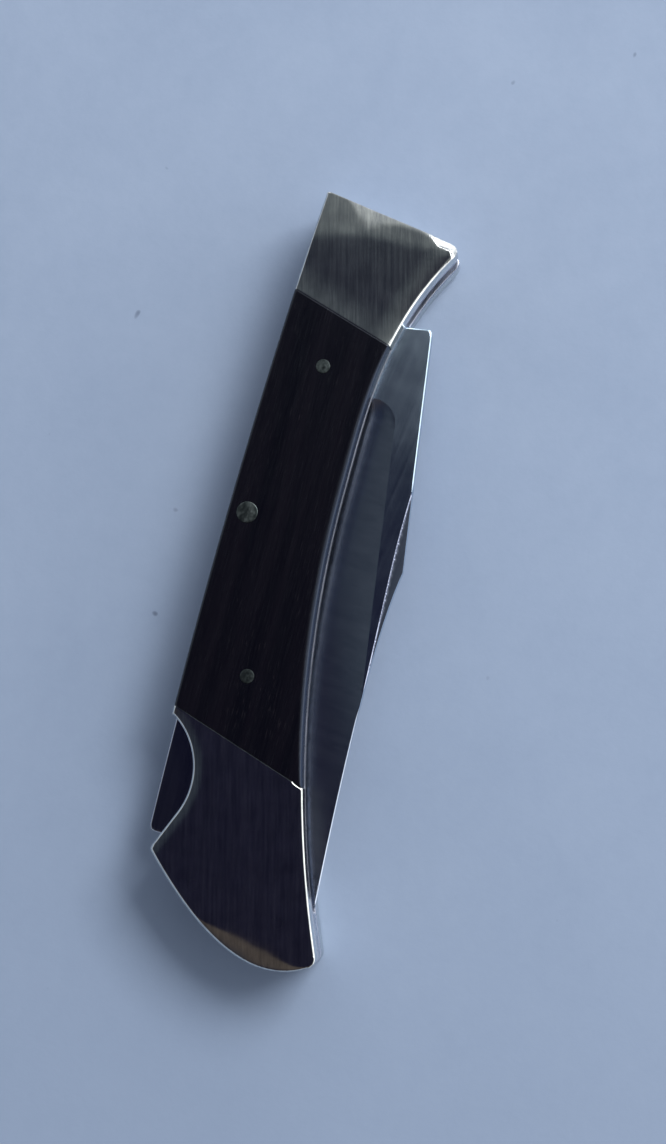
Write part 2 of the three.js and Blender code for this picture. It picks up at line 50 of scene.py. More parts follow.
# Handle sizes, as in the CAD source. Places less REAR_REACH were measured forward from its rear end.
REAR_REACH = 98.9
FRONT_REACH = 8.0
FRONT_SLANT = math.radians(9.7)
SPINE_CROWN = (46.9 - REAR_REACH, 10.85)
SPINE_RADIUS = 1030.0
GRIP_Y = -4.1
GRIP_REAR_X = 65.9 - REAR_REACH
GRIP_FRONT_X = GRIP_REAR_X + 3.0
BELLY_RADIUS = 155.0
GUARD_DEPTH = 11.6
GUARD_ROUNDING = 2.1
BUTT_TIP_X = 11.55 - REAR_REACH
BUTT_TIP_DROP = 1.45
BUTT_TIP_RUN = (-10.9, -10.8)
BUTT_CORNER_X = 2.4 - REAR_REACH
BUTT_CORNER_RUN = (-5.4, 7.1)
BUTT_CORNER_ROUNDING = 1.2
BEAK_ROUNDING = 0.45
BROW_ROUNDING = 0.4
NOTCH_X = 21.3 - REAR_REACH
NOTCH_RADIUS = 10.35
NOTCH_DEPTH = 4.95
SEAM_SLANT = math.radians(17.5)
FRONT_SEAM_X = -6.67
REAR_SEAM_X = NOTCH_X + 9.9
SEAM_LEVEL = 10.0
SEAM_GAP = 0.04

# Levels of the layers
COVER = 3.2
CHANNEL_FLOOR = 4.3
CHANNEL_ROOF = 7.3
RIGHT_COVER_FLOOR = 8.4
THICKNESS = 11.6
MIDDLE = THICKNESS / 2
PART_GAP = 0.05

# Blade, in its own axes, in which it points along x
BLADE_HALF = 1.4
TIP = (91.0, 2.35)
BLADE_SPINE = 8.87
BLADE_EDGE = -3.4
SHOULDER_X = 8.2
SHOULDER_FOOT = 4.75
SHOULDER_ROUNDING = 0.75
RICASSO_END = 18.9
PLUNGE_RUN = 3.6
PLUNGE_EASE = 2.7
GRIND_TOP = 5.3
GRIND_FOOT = 0.15
HOLLOW_POWER = 1.3
# Towards the tip the blade thins on each side, and the hollow's lower half flattens. A stretch is where a
# change starts and how long it takes.
TIP_THINNING = 0.7
TIP_THINNING_STRETCH = (40.0, 38.0)
TIP_HOLLOW_POWER = 2.0
TIP_HOLLOW_STRETCH = (38.0, 30.0)
# The sharpened edge: half its thickness at the very edge, how fast that grows, and its width
EDGE_HALF = 0.03
EDGE_SLOPE = 0.32
EDGE_WIDTH = 0.42
BACK_CHAMFER = 0.11
BACK_CHAMFER_LOSS = 0.16
SHOULDER_CHAMFER = 0.2
TANG_CHAMFER = 0.05
CLIP_START = 43.0
CLIP_BEND = (54.3, 5.2)
EDGE_CURVE_START = 58.0
EDGE_CURVE_BEND = 82.0
SWEDGE_START = 31.3
SWEDGE_END = 61.0
SWEDGE_WIDTH = 1.65
SWEDGE_SLOPE = 0.26
SWEDGE_STEP = 0.09
SWEDGE_STEP_RUN = 0.14
CAM_RADIUS = 5.0
CORNER_UNDER_TANG = 2.62
KICK_HALF = 1.5
KICK_FOOT_HALF = 2.3
KICK_LIFT = 1.1
CLOSED = math.radians(-172)

# Lock bar, spacer and pins
ROCKER = (59.95 - REAR_REACH, 8.0)
BAR_END_X = BUTT_TIP_X + 2.05
BAR_UNDERSIDE = 5.6
BAR_END_ROUNDING = 1.0
NOSE_UNDERSIDE = 6.0
NOSE_SETBACK = 0.2
LUG_REAR_X = -2.6
LUG_FRONT_X = 0.2
LUG_CLEARANCE = 0.1
LUG_FOOT_RADIUS = CAM_RADIUS + LUG_CLEARANCE
LUG_PLAY = 0.06
LOCK_DROP = math.radians(1.2)
SPACER_LEDGE = 4.7
SPACER_WALL_SETBACK = 0.3
SPACER_FOOT_SETBACK = 0.6
SPACER_TO_EDGE = 0.9
ARM_TOP = 3.9
ARM_BOTTOM = -0.2
ARM_HALF = 2.8
SPRING_ROOT_X = NOTCH_X + 0.8
SPRING_POCKET_REAR = SPRING_ROOT_X - 0.1
SPRING_POCKET_FRONT = SPRING_ROOT_X + 4.7
SPRING_POCKET_FLOOR = ARM_TOP + PART_GAP - 1.6
FRONT_PIN = (FRONT_SEAM_X - 9.8, 3.08)
REAR_PIN = (REAR_SEAM_X + 6.7, 1.92)
SPRING_PIN = (SPRING_ROOT_X + 2.3, ARM_TOP + PART_GAP - 0.75)
PIVOT_PIN = (0.0, 0.0)
PIVOT_RADIUS = 1.6
ROCKER_RADIUS = 1.5
HANDLE_PIN_RADIUS = 1.0
BOLSTER_PIN_RADIUS = 0.8
SPRING_PIN_RADIUS = 0.6
FLUSH_DROP = 0.004
DOME = 0.02
PIN_FIT = 0.02
MOVING_FIT = 0.05


# Outlines: a run is (name, points), and each run starts where the one before it ends.


def turned(points, angle, about=(0.0, 0.0)):
    """Points turned about a place, anticlockwise."""
    c, s = math.cos(angle), math.sin(angle)
    offset = np.asarray(points, float) - about
    return offset @ np.array([[c, s], [-s, c]]) + about


def bezier(*controls, steps=200):
    """A Bezier curve of any degree as a dense polyline."""
    level = [np.asarray(p, float)[None, :] for p in controls]
    t = np.linspace(0, 1, steps + 1)[:, None]
    while len(level) > 1:
        level = [a * (1 - t) + b * t for a, b in zip(level, level[1:])]
    return level[0]


def line(*corners, gap=0.1):
    """A polyline through these corners, with points about a gap apart."""
    parts = [np.asarray(corners[0], float)[None, :]]
    for a, b in zip(corners, corners[1:]):
        count = max(2, int(math.dist(a, b) / gap))
        t = np.linspace(0, 1, count + 1)[1:, None]
        parts.append(np.asarray(a) * (1 - t) + np.asarray(b) * t)
    return np.concatenate(parts)


def arc(centre, radius, start, end, steps=160):
    """An arc as a dense polyline."""
    a = np.linspace(start, end, steps + 1)
    return np.stack([centre[0] + radius * np.cos(a), centre[1] + radius * np.sin(a)], 1)


def graph(height_at, xs):
    """Points at these x on a curve that is given as its height over x."""
    return np.stack([xs, height_at(xs)], 1)


def spine_at(x):
    """The height of the handle's spine."""
    return SPINE_CROWN[1] - (SPINE_RADIUS - np.sqrt(SPINE_RADIUS**2 - (x - SPINE_CROWN[0]) ** 2))


FRONT_TOP_Y = spine_at(FRONT_REACH)


def front_edge_x(y):
    """How far forward the handle's slanting front edge lies at a height."""
    return FRONT_REACH - math.tan(FRONT_SLANT) * (FRONT_TOP_Y - y)


GUARD = (front_edge_x(-GUARD_DEPTH), -GUARD_DEPTH)


def belly_at(x):
    """The height of the handle's belly: an arc behind the grip, and a cubic sweep down to the guard."""
    x = np.asarray(x, float)
    share = np.maximum(0, x - GRIP_FRONT_X) / (GUARD[0] - GRIP_FRONT_X)
    front = GRIP_Y - (GUARD_DEPTH + GRIP_Y) * share**3
    rear = GRIP_Y - BELLY_RADIUS + np.sqrt(BELLY_RADIUS**2 - np.minimum(0, x - GRIP_REAR_X) ** 2)
    return np.where(x > GRIP_REAR_X, front, rear)


def rounded(before, after, reach):
    """Trims two runs that meet at a corner, and returns them with the curve that rounds the corner."""
    corner = before[-1]
    kept_before = before[np.hypot(*(before - corner).T) >= reach]
    kept_after = after[np.hypot(*(after - corner).T) >= reach]
    return kept_before, bezier(kept_before[-1], corner, kept_after[0], steps=40), kept_after


BUTT_TIP = np.array([BUTT_TIP_X, spine_at(BUTT_TIP_X) - BUTT_TIP_DROP])
BUTT_CORNER = np.array([BUTT_CORNER_X, float(belly_at(BUTT_CORNER_X))])
UPPER_PIN = tuple(BUTT_TIP + (-3.2, -7.3))
LOWER_PIN = tuple(BUTT_CORNER + (4.0, 6.7))
GUARD_RIVET = (GUARD[0] - 1.9, GUARD[1] + 4.4)


def handle_runs():
    """The handle's outline, anticlockwise from the top of its front edge."""
    centre = np.array([NOTCH_X, spine_at(NOTCH_X) - NOTCH_DEPTH + NOTCH_RADIUS])
    rise = math.asin((centre[1] - spine_at(NOTCH_X)) / NOTCH_RADIUS)
    notch_front_x = NOTCH_X + NOTCH_RADIUS * math.cos(rise)
    tip, corner = BUTT_TIP, BUTT_CORNER
    bearing = math.atan2(tip[1] - centre[1], tip[0] - centre[0]) + 2 * math.pi
    leaves = bearing + math.acos(min(1, NOTCH_RADIUS / math.dist(tip, centre)))
    spine = graph(spine_at, np.linspace(FRONT_REACH, notch_front_x, 800))
    bend = arc(centre, NOTCH_RADIUS, 2 * math.pi - rise, leaves)
    notch = np.concatenate([bend, line(bend[-1], tip)[1:]])
    notch[0] = spine[-1]
    butt = bezier(tip, tip + BUTT_TIP_RUN, corner + BUTT_CORNER_RUN, corner, steps=400)
    belly = graph(belly_at, np.linspace(BUTT_CORNER_X, GUARD[0], 1200))
    front = line(GUARD, (FRONT_REACH, FRONT_TOP_Y))
    notch, beak, butt = rounded(notch, butt, BEAK_ROUNDING)
    butt, heel, belly = rounded(butt, belly, BUTT_CORNER_ROUNDING)
    belly, guard, front = rounded(belly, front, GUARD_ROUNDING)
    front, brow, spine = rounded(front, spine, BROW_ROUNDING)
    return [
        ("spine", spine), ("notch", notch), ("beak", beak), ("butt", butt), ("heel", heel),
        ("belly", belly), ("guard", guard), ("front", front), ("brow", brow),
    ]


def seam_side(points, seam_x):
    """How far points lie ahead of a seam, along x."""
    return points[:, 0] - (seam_x - math.tan(SEAM_SLANT) * (SEAM_LEVEL - points[:, 1]))


# Ends of runs that lie closer than this are one place.
SAME_PLACE = 0.01


def cut_runs(runs, keep, name):
    """Keeps what has keep(points) >= 0, and closes the gap with a straight run of this name."""
    pieces = []
    for label, points in runs:
        value = keep(points)
        inside = value >= 0
        kept = []
        for i in range(len(points)):
            if i and inside[i] != inside[i - 1]:
                share = value[i - 1] / (value[i - 1] - value[i])
                kept.append(points[i - 1] * (1 - share) + points[i] * share)
            if inside[i]:
                kept.append(points[i])
        if len(kept) > 1:
            pieces.append((label, np.array(kept)))
    joined = []
    for i, (label, points) in enumerate(pieces):
        joined.append((label, points))
        start = pieces[(i + 1) % len(pieces)][1][0]
        if math.dist(points[-1], start) > SAME_PLACE:
            joined.append((name, line(points[-1], start)))
    return joined


def zone_runs(rear_seam, front_seam, belly_setback=0.0):
    """The outline of what lies between two seams, or up to the handle's end, less a setback at the belly."""
    runs = []
    for name, points in handle_runs():
        runs.append((name, points + (0, belly_setback if name == "belly" else 0)))
    if rear_seam is not None:
        runs = cut_runs(runs, lambda p: seam_side(p, rear_seam + SEAM_GAP / 2), "rear_seam")
    if front_seam is not None:
        runs = cut_runs(runs, lambda p: -seam_side(p, front_seam - SEAM_GAP / 2), "front_seam")
    return runs


def resample(points, coarse=0.4, fine=0.08, growth=0.3):
    """A run's points, closer together near its ends."""
    steps = np.hypot(*np.diff(points, axis=0).T)
    along = np.concatenate([[0], np.cumsum(steps)])
    places, s = [0.0], 0.0
    while True:
        s += min(coarse, fine + growth * min(s, max(0.0, along[-1] - s)))
        if s > along[-1] - fine / 2:
            break
        places.append(s)
    places.append(along[-1])
    return np.stack([np.interp(places, along, points[:, k]) for k in (0, 1)], 1)


# Points that are compared with a track at a time
BATCH = 1500


def distance(points, track):
    """Each point's distance to a polyline, and how far along it, in points, the nearest place is."""
    a, ab = track[:-1], np.diff(track, axis=0)
    length2 = np.maximum((ab**2).sum(1), 1e-12)
    best = np.empty(len(points))
    where = np.empty(len(points))
    for start in range(0, len(points), BATCH):
        p = points[start : start + BATCH, None, :]
        t = np.clip(((p - a) * ab).sum(2) / length2, 0, 1)
        gap = np.sqrt((((a + t[..., None] * ab) - p) ** 2).sum(2))
        i = gap.argmin(1)
        rows = np.arange(len(i))
        best[start : start + BATCH] = gap[rows, i]
        where[start : start + BATCH] = i + t[rows, i]
    return best, where


def inside(points, loop):
    """Which points lie inside a closed loop."""
    a, b = loop, np.roll(loop, -1, 0)
    count = np.zeros(len(points), int)
    for start in range(0, len(points), BATCH):
        p = points[start : start + BATCH]
        y = p[:, 1:2]
        crosses = (a[:, 1] > y) != (b[:, 1] > y)
        rise = np.where(b[:, 1] == a[:, 1], 1.0, b[:, 1] - a[:, 1])
        x = a[:, 0] + (y - a[:, 1]) * (b[:, 0] - a[:, 0]) / rise
        count[start : start + BATCH] = (crosses & (p[:, 0:1] < x)).sum(1)
    return count % 2 == 1


def closed(loop):
    """A loop with its first point again at its end."""
    return np.concatenate([loop, loop[:1]])


def linked(name, data):
    """A new object in the scene."""
    obj = bpy.data.objects.new(name, data)
    bpy.context.scene.collection.objects.link(obj)
    return obj


class Outline:
    """A closed outline made of named runs, each sampled finely near its ends."""

    def __init__(self, runs, coarse=0.4, fine=0.08):
        self.runs = [(name, resample(points, coarse, fine)) for name, points in runs]
        self.names = [name for name, _ in runs]
        self.loop = np.concatenate([points[:-1] for _, points in self.runs])

    def tracks(self, *names):
        return [points for name, points in self.runs if name in names]

    def distance(self, points, *names):
        """Distance to the nearest of the named runs."""
        found = [distance(points, track)[0] for track in self.tracks(*names)]
        return np.min(found, axis=0) if found else np.full(len(points), 1e3)

    def rings(self, offsets):
        """Points set in from the loop by each of these distances, where they really lie that deep."""
        before = self.loop - np.roll(self.loop, 1, 0)
        after = np.roll(self.loop, -1, 0) - self.loop
        way = before / np.hypot(*before.T)[:, None] + after / np.hypot(*after.T)[:, None]
        way /= np.hypot(*way.T)[:, None]
        normal = np.stack([-way[:, 1], way[:, 0]], 1)
        found = []
        for offset in offsets:
            stride = 1 if offset < 1 else 2
            candidates = (self.loop + normal * offset)[::stride]
            deep = distance(candidates, closed(self.loop))[0] >= offset * 0.985
            found += list(candidates[deep & inside(candidates, self.loop)])
        return found

    def grid(self, step, margin):
        """Points in staggered rows, a step apart, that lie further in than the margin."""
        low, high = self.loop.min(0), self.loop.max(0)
        xs, ys = np.arange(low[0], high[0], step), np.arange(low[1], high[1], step)
        points = np.array([(x + (step / 2 if j % 2 else 0), y) for j, y in enumerate(ys) for x in xs])
        return list(points[self.distance(points, *self.names) > margin])


# A face's free points keep this far from each other, from a hole and from a crease.
POINT_GAP = 0.045
HOLE_GAP = 0.05
CREASE_GAP = 0.03
# How Blender makes the triangles: only inside the given edges, and to this tolerance.
INSIDE_ONLY = 1
TOLERANCE = 1e-6


def spread_points(points, gap):
    """Leaves out points that lie closer than a gap to one already kept."""
    cells, kept = {}, []
    for x, y in points:
        key = (int(x // gap), int(y // gap))
        around = [(key[0] + i, key[1] + j) for i in (-1, 0, 1) for j in (-1, 0, 1)]
        near = [q for cell in around for q in cells.get(cell, ())]
        if all((x - q[0]) ** 2 + (y - q[1]) ** 2 >= gap * gap for q in near):
            cells.setdefault(key, []).append((x, y))
            kept.append((x, y))
    return kept


def triangulated(outline, holes, creases, free):
    """Triangles over an outline less its holes: its points, its faces and the pairs of points on creases."""
    coordinates, edges = [], []
    for track in (outline.loop, *holes):
        ids = range(len(coordinates), len(coordinates) + len(track))
        coordinates += [tuple(p) for p in track]
        edges += zip(ids, [*ids[1:], ids[0]])
    first_crease = len(edges)
    for track in creases:
        ids = range(len(coordinates), len(coordinates) + len(track))
        coordinates += [tuple(p) for p in track]
        edges += zip(ids, ids[1:])
    if free:
        free = np.array(free)
        good = inside(free, outline.loop)
        for hole in holes:
            good &= ~inside(free, hole) & (distance(free, closed(hole))[0] > HOLE_GAP)
        for track in creases:
            good &= distance(free, np.asarray(track))[0] > CREASE_GAP
        coordinates += spread_points(free[good], POINT_GAP)
    corners = [Vector(p) for p in coordinates]
    verts, lines, faces, _, line_sources, _ = delaunay_2d_cdt(corners, edges, [], INSIDE_ONLY, TOLERANCE)
    flat = np.array([tuple(v) for v in verts])
    middles = np.array([flat[list(face)].mean(0) for face in faces])
    solid = inside(middles, outline.loop)
    for hole in holes:
        solid &= ~inside(middles, hole)
    faces = [face for face, keep in zip(faces, solid) if keep]
    on_crease = {
        tuple(pair)
        for pair, sources in zip(lines, line_sources)
        if any(first_crease <= source < len(edges) for source in sources)
    }
    return flat, faces, on_crease


def plate(
    name, outline, top, bottom, holes=(), creases=(), offsets=(), extra=(), step=None, place=None,
    regions=None, sharp=32,
):
    """A solid whose faces are heights over its outline: top and bottom turn points into levels.

    holes are closed loops, and the faces break along creases. They have points at offsets from the outline,
    a step apart, and where extra says. place moves points whose levels are known, regions turns a face's
    middle into its material's number, and faces that meet at more than the sharp angle aren't shaded as one.
    """
    free = outline.rings(offsets) + list(extra)
    if step:
        free += outline.grid(step, max(offsets, default=0) + 0.6 * step)
    flat, faces, on_crease = triangulated(outline, holes, creases, free)
    kinds = [0 if regions is None else regions(flat[list(face)].mean(0)) for face in faces]
    levels = top(flat), bottom(flat)
    if place is not None:
        flat = place(flat)
    bm = bmesh.new()
    used = sorted({i for face in faces for i in face})
    high, low = (
        {i: bm.verts.new((flat[i][0] * MM, flat[i][1] * MM, level[i] * MM)) for i in used} for level in levels
    )
    sides = {}
    for face, kind in zip(faces, kinds):
        bm.faces.new([high[i] for i in face]).material_index = kind
        bm.faces.new([low[i] for i in reversed(face)]).material_index = kind
        sides.update(dict.fromkeys(zip(face, [*face[1:], face[0]])))
    for a, b in sides:
        if (b, a) not in sides:
            bm.faces.new([high[a], low[a], low[b], high[b]])
    bm.normal_update()
    for face in bm.faces:
        face.smooth = True
    for edge in bm.edges:
        if edge.calc_face_angle(0) > math.radians(sharp):
            edge.smooth = False
    for a, b in on_crease:
        for level in (high, low):
            edge = bm.edges.get((level[a], level[b])) if a in level and b in level else None
            if edge is not None:
                edge.smooth = False
    mesh = bpy.data.meshes.new(name)
    bm.to_mesh(mesh)
    bm.free()
    return linked(name, mesh)


def ramp(depth, softness=0.02):
    """Rises from nothing below zero to depth above it, with a soft start."""
    return (depth + np.sqrt(depth**2 + softness**2)) / 2


def smooth(share):
    """From 0 to 1 as a share does, with a soft start and end."""
    share = np.clip(share, 0, 1)
    return share * share * (3 - 2 * share)


def past(value, start, length):
    """From 0 to 1, softly, as a value goes this far past a start."""
    return smooth((value - start) / length)


def circle(centre, radius, sides=64):
    """A closed loop for a round hole."""
    return arc(centre, radius, 0, 2 * math.pi, sides)[:-1]


def dressed(node, body, slot, materials, *shape, **more):
    """A plate with these materials that stands for a CAD node and rides on that node's body."""
    obj = plate("finished_" + node, *shape, **more)
    for material in materials:
        obj.data.materials.append(material)
    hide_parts(node)
    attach(obj, body)


# Materials


class Nodes:
    """A short way to write a material's or world's node tree."""

    def __init__(self, tree):
        self.tree = tree

    def feed(self, value, socket):
        """Links or sets a socket."""
        if isinstance(value, bpy.types.NodeSocket):
            self.tree.links.new(value, socket)
        else:
            socket.default_value = value

    def add(self, kind, settings=None, **inputs):
        """A new node. An input is named, with _ for a space, or is i and its number."""
        made = self.tree.nodes.new("ShaderNode" + kind)
        for key, value in (settings or {}).items():
            setattr(made, key, value)
        for key, value in inputs.items():
            by_number = key[0] == "i" and key[1:].isdigit()
            self.feed(value, made.inputs[int(key[1:]) if by_number else key.replace("_", " ")])
        return made

    def math(self, operation, a, b=0.0):
        return self.add("Math", {"operation": operation}, i0=a, i1=b).outputs[0]

    def times(self, a, b):
        return self.math("MULTIPLY", a, b)

    def noise(self, scale, detail=3.0, roughness=0.5, turn=0.0):
        """Noise with these scales along x, y and z, per metre, after a turn about z."""
        spun = self.add("Mapping", Vector=self.place(), Rotation=(0.0, 0.0, turn)).outputs[0]
        scaled = self.add("Mapping", Vector=spun, Scale=scale).outputs[0]
        settings = {"Vector": scaled, "Scale": 1.0, "Detail": detail, "Roughness": roughness}
        return self.add("TexNoise", **settings).outputs["Fac"]

    def span(self, value, low, high, to_low=0.0, to_high=1.0, kind="LINEAR"):
        """A value's place between low and high, from to_low to to_high."""
        made = self.add(
            "MapRange", {"interpolation_type": kind}, Value=value, From_Min=low, From_Max=high, To_Min=to_low,
            To_Max=to_high,
        )
        return made.outputs[0]

    def mix(self, share, a, b):
        """A colour between two colours."""
        made = self.add("Mix", {"data_type": "RGBA"}, i0=share)
        for socket, value in ((made.inputs[6], a), (made.inputs[7], b)):
            self.feed(value if isinstance(value, bpy.types.NodeSocket) else (*value, 1.0), socket)
        return made.outputs[2]

    def place(self):
        """Object coordinates in metres."""
        return self.add("TexCoord").outputs["Object"]

    def axis(self, vector, name):
        return self.add("SeparateXYZ", Vector=vector).outputs[name]

    def bump(self, height, strength, distance_m, normal=None):
        made = self.add("Bump", Height=height, Strength=strength, Distance=distance_m)
        if normal is not None:
            self.feed(normal, made.inputs["Normal"])
        return made.outputs[0]


def new_material(name):
    material = bpy.data.materials.new(name)
    material.use_nodes = True
    return material, Nodes(material.node_tree), material.node_tree.nodes["Principled BSDF"].inputs


def brushed_metal(
    name, dark, light, roughness, lines, grain_turn=0.0, line_depth=1.0, cloud=0.0, cloud_size=3.0,
    streak_depth=0.2, streak_length=0.04, satin=None,
):
    """Metal with lines along its grain, clouds where it was handled, and a few longer scratches.

    lines counts those in a metre across the grain. cloud is the roughness that clouds add, and cloud_size is
    in millimetres. satin is more roughness: the x where it starts, the x where it is full, and how much.
    """
    material, n, shader = new_material(name)
    grain = n.noise((60.0, lines, lines), 4.0, 0.6, grain_turn)
    streak = n.noise((1 / streak_length, lines * 0.45, lines * 0.45), 4.0, 0.65, grain_turn)
    clouds = n.noise((1000.0 / cloud_size,) * 3, 4.0, 0.55)
    tone = n.math("ADD", n.times(streak, 0.55), n.times(clouds, 0.45))
    n.feed(n.mix(n.span(tone, 0.36, 0.64), dark, light), shader["Base Color"])
    n.feed(1.0, shader["Metallic"])
    rough = n.span(streak, 0.3, 0.7, roughness * 0.92, roughness * 1.08)
    if cloud:
        rough = n.math("ADD", rough, n.span(clouds, 0.4, 0.7, 0.0, cloud))
    if satin:
        start, full, more = satin
        rough = n.math("ADD", rough, n.span(n.axis(n.place(), "X"), start, full, 0.0, more))
    n.feed(rough, shader["Roughness"])
    fine = n.bump(grain, 0.35 * line_depth, 0.00001)
    n.feed(n.bump(streak, streak_depth * line_depth, 0.000012, fine), shader["Normal"])
    return material


# The bolsters were rubbed at a slant to the handle.
NICKEL = brushed_metal(
    "nickel_silver", (0.41, 0.43, 0.44), (0.70, 0.72, 0.69), 0.155, 5200.0, -0.26,
    streak_depth=0.65, streak_length=0.009,
)
NICKEL_BLUNT = brushed_metal(
    "nickel_edge", (0.39, 0.41, 0.47), (0.52, 0.54, 0.61), 0.28, 4000.0, line_depth=0.5,
)
# The blade's satin flat is duller towards its tip.
STEEL = brushed_metal(
    "blade_satin", (0.44, 0.55, 0.665), (0.54, 0.66, 0.77), 0.165, 4200.0, CLOSED, line_depth=0.8,
    cloud=0.03, cloud_size=5.0, satin=(-0.030, -0.019, 0.066),
)
# The hollow was ground across the blade.
HOLLOW = brushed_metal(
    "blade_hollow", (0.40, 0.45, 0.54), (0.48, 0.53, 0.62), 0.2, 3000.0, CLOSED + math.pi / 2, line_depth=0.3,
)
SWEDGE = brushed_metal(
    "blade_swedge", (0.27, 0.30, 0.40), (0.34, 0.37, 0.48), 0.13, 3600.0, CLOSED, line_depth=0.5,
)
SPRING = brushed_metal("spring_steel", (0.30, 0.32, 0.37), (0.40, 0.42, 0.48), 0.18, 3800.0, line_depth=0.7)
PIN = brushed_metal(
    "pin_nickel", (0.050, 0.063, 0.064), (0.118, 0.138, 0.136), 0.34, 1500.0, line_depth=0.7,
    cloud=0.2, cloud_size=0.7,
)


def wood_material():
    """Near-black hardwood with a purple tint, fine open pores along the grain, a thin oil finish and a
    painted sheen on the belly's rounding.
    """
    material, n, shader = new_material("dark_hardwood")
    figure = n.noise((22.0, 420.0, 420.0), 4.0, 0.6)
    fibre = n.noise((260.0, 5200.0, 5200.0), 3.0, 0.6)
    pore = n.span(n.noise((520.0, 5600.0, 5600.0), 2.0), 0.62, 0.72)
    patches = n.span(n.noise((90.0, 160.0, 160.0), 2.0), 0.45, 0.65, 0.08, 0.45)
    colour = n.mix(n.span(figure, 0.35, 0.65), (0.0018, 0.0016, 0.0038), (0.0042, 0.0034, 0.0062))
    colour = n.mix(n.times(pore, patches), colour, (0.024, 0.020, 0.024))
    # The belly's rounding, which faces away from the spine, gets a paler bluish colour: a painted sheen that
    # stands in for the reflection on that edge.
    toward_spine = n.axis(n.add("NewGeometry").outputs["Normal"], "Y")
    colour = n.mix(n.span(toward_spine, -0.2, -0.75), colour, (0.016, 0.023, 0.044))
    n.feed(colour, shader["Base Color"])
    n.feed(n.span(fibre, 0.3, 0.7, 0.2, 0.28), shader["Roughness"])
    n.feed(0.48, shader["Specular IOR Level"])
    n.feed((0.76, 0.87, 1.0, 1.0), shader["Specular Tint"])
    fine = n.bump(fibre, 0.3, 0.00002)
    n.feed(n.bump(n.times(pore, -1.0), 0.3, 0.000015, fine), shader["Normal"])
    return material


WOOD = wood_material()


# Covers

# The bolsters' broken edges, each by its width and its steepness. One of no width leaves the edge sharp.
CHAMFERS = {
    "spine": (0.22, 1.0), "notch": (0.22, 1.0), "beak": (0.3, 1.0), "heel": (0.12, 1.0), "brow": (0.12, 1.0),
}
BUTT_CHAMFERS = ((0.3, 1.0), (0.18, 1.0))
REAR_BELLY_CHAMFER = (0.17, 1.0)
FRONT_BELLY_CHAMFER = (0.24, 0.8)
SHARP_FRONT = (-0.01, 0.62)
SHARP_SEAM = (-0.008, 1.0)
# The rear bolster's seam is broken only beside the belly, in a short tick.
SEAM_TICK = (0.192, 1.0)
TICK_LENGTH = 1.9
TICK_FADE = 0.8
# The slanting facet at the guard
FACET = (1.05, 0.62)
FACET_START_Y = -6.2
FACET_RUN = 2.4
EDGE_SOFTNESS = 0.03
FACET_SOFTNESS = 0.09
SOFT_DEPTH_STRETCH = (5.5, 1.5)
SOFT_X_STRETCH = (1.0, 2.0)
# The front bolster's buffed end, and the brighter wedge in it, as pairs of height and depth from the edge
BUFF_X = 2.5
BUFF_CURVE = 0.0178
BUFF_TILT = 0.058
WEDGE_EDGE = [
    (-12.0, 0.5), (-4.4, 0.7), (-2.3, 0.9), (-0.7, 1.5), (0.9, 2.3), (2.1, 3.2), (4.2, 1.7), (6.2, 0.0),
    (12.0, -3.0),
]
WEDGE_TILT = 0.07
# The dip that was buffed into the butt, which widens and narrows over shares of the butt's run
DIP_REACH = 3.1
DIP_WIDENING = (0.33, 0.32)
DIP_LOSS = 2.8
DIP_NARROWING = (0.74, 0.25)
DIP_DEPTH = 0.145
# The roll beside the thumb notch
NOTCH_ROLL = 1.4
NOTCH_ROLL_SLOPE = 0.115
NOTCH_ROLL_SOFTNESS = 0.2
# The bolsters roll off towards the belly. Past its seam the front one rolls further, and falls.
ROLL = 0.07
REAR_ROLL_WIDTH = 2.2
FRONT_ROLL = 0.25
FRONT_ROLL_WIDTH = 3.6
FRONT_ROLL_RUN = 6.0
FRONT_FALL = 0.11
FRONT_FALL_RUN = 4.5
# The wood's rounded edges: width and fall at the spine, and least width, further width and fall at the belly
WOOD_SEAM_EDGE = 0.06
WOOD_SPINE_EDGE = (0.5, 0.45)
WOOD_BELLY_EDGE = (0.25, 0.7, 0.62)
FULL_FALL_WIDTH = 0.6
# How far the rounded wood stands back from the liner at the belly, and the liner's shallow bevel there
WOOD_SETBACK = 0.09
LINER_BEVEL = 0.12
LINER_STEEPNESS = 0.27


def along_track(points, track):
    """Distance to a run, and the share of the run that lies before the nearest place."""
    gap, where = distance(points, track)
    return gap, where / (len(track) - 1)


def eased(depth, width):
    """Rises at one steepness past a line, which it reaches over this width."""
    depth = np.clip(depth, 0, None)
    return np.where(depth < width, depth**2 / (2 * width), depth - width / 2)


def fading(share):
    """From 1 to 0 as a share goes from 0 to 1, with a soft end."""
    return np.clip(1 - share, 0, 1) ** 2


def between(first, second, share):
    """A pair of values between two pairs."""
    return [a + (b - a) * share for a, b in zip(first, second)]


def is_front(track):
    """Whether a run lies on the front bolster."""
    return track[:, 0].max() > FRONT_SEAM_X


def bolster_chamfer(name, track, points, share):
    """The broken edge's width and steepness beside points, at their share of this run of the outline."""
    if name in CHAMFERS:
        return CHAMFERS[name]
    if name == "belly":
        return FRONT_BELLY_CHAMFER if is_front(track) else REAR_BELLY_CHAMFER
    if name == "butt":
        return between(*BUTT_CHAMFERS, smooth(share * 1.6 - 0.5))
    if name == "guard":
        return between(FRONT_BELLY_CHAMFER, FACET, smooth(share * 1.5))
    if name == "front":
        return between(SHARP_FRONT, FACET, smooth((FACET_START_Y - points[:, 1]) / FACET_RUN))
    if name == "front_seam":
        belly_end = min(track[0], track[-1], key=lambda place: place[1])
        from_belly = np.hypot(*(points - belly_end).T)
        return between(SHARP_SEAM, SEAM_TICK, smooth((TICK_LENGTH - from_belly) / TICK_FADE))
    return SHARP_SEAM


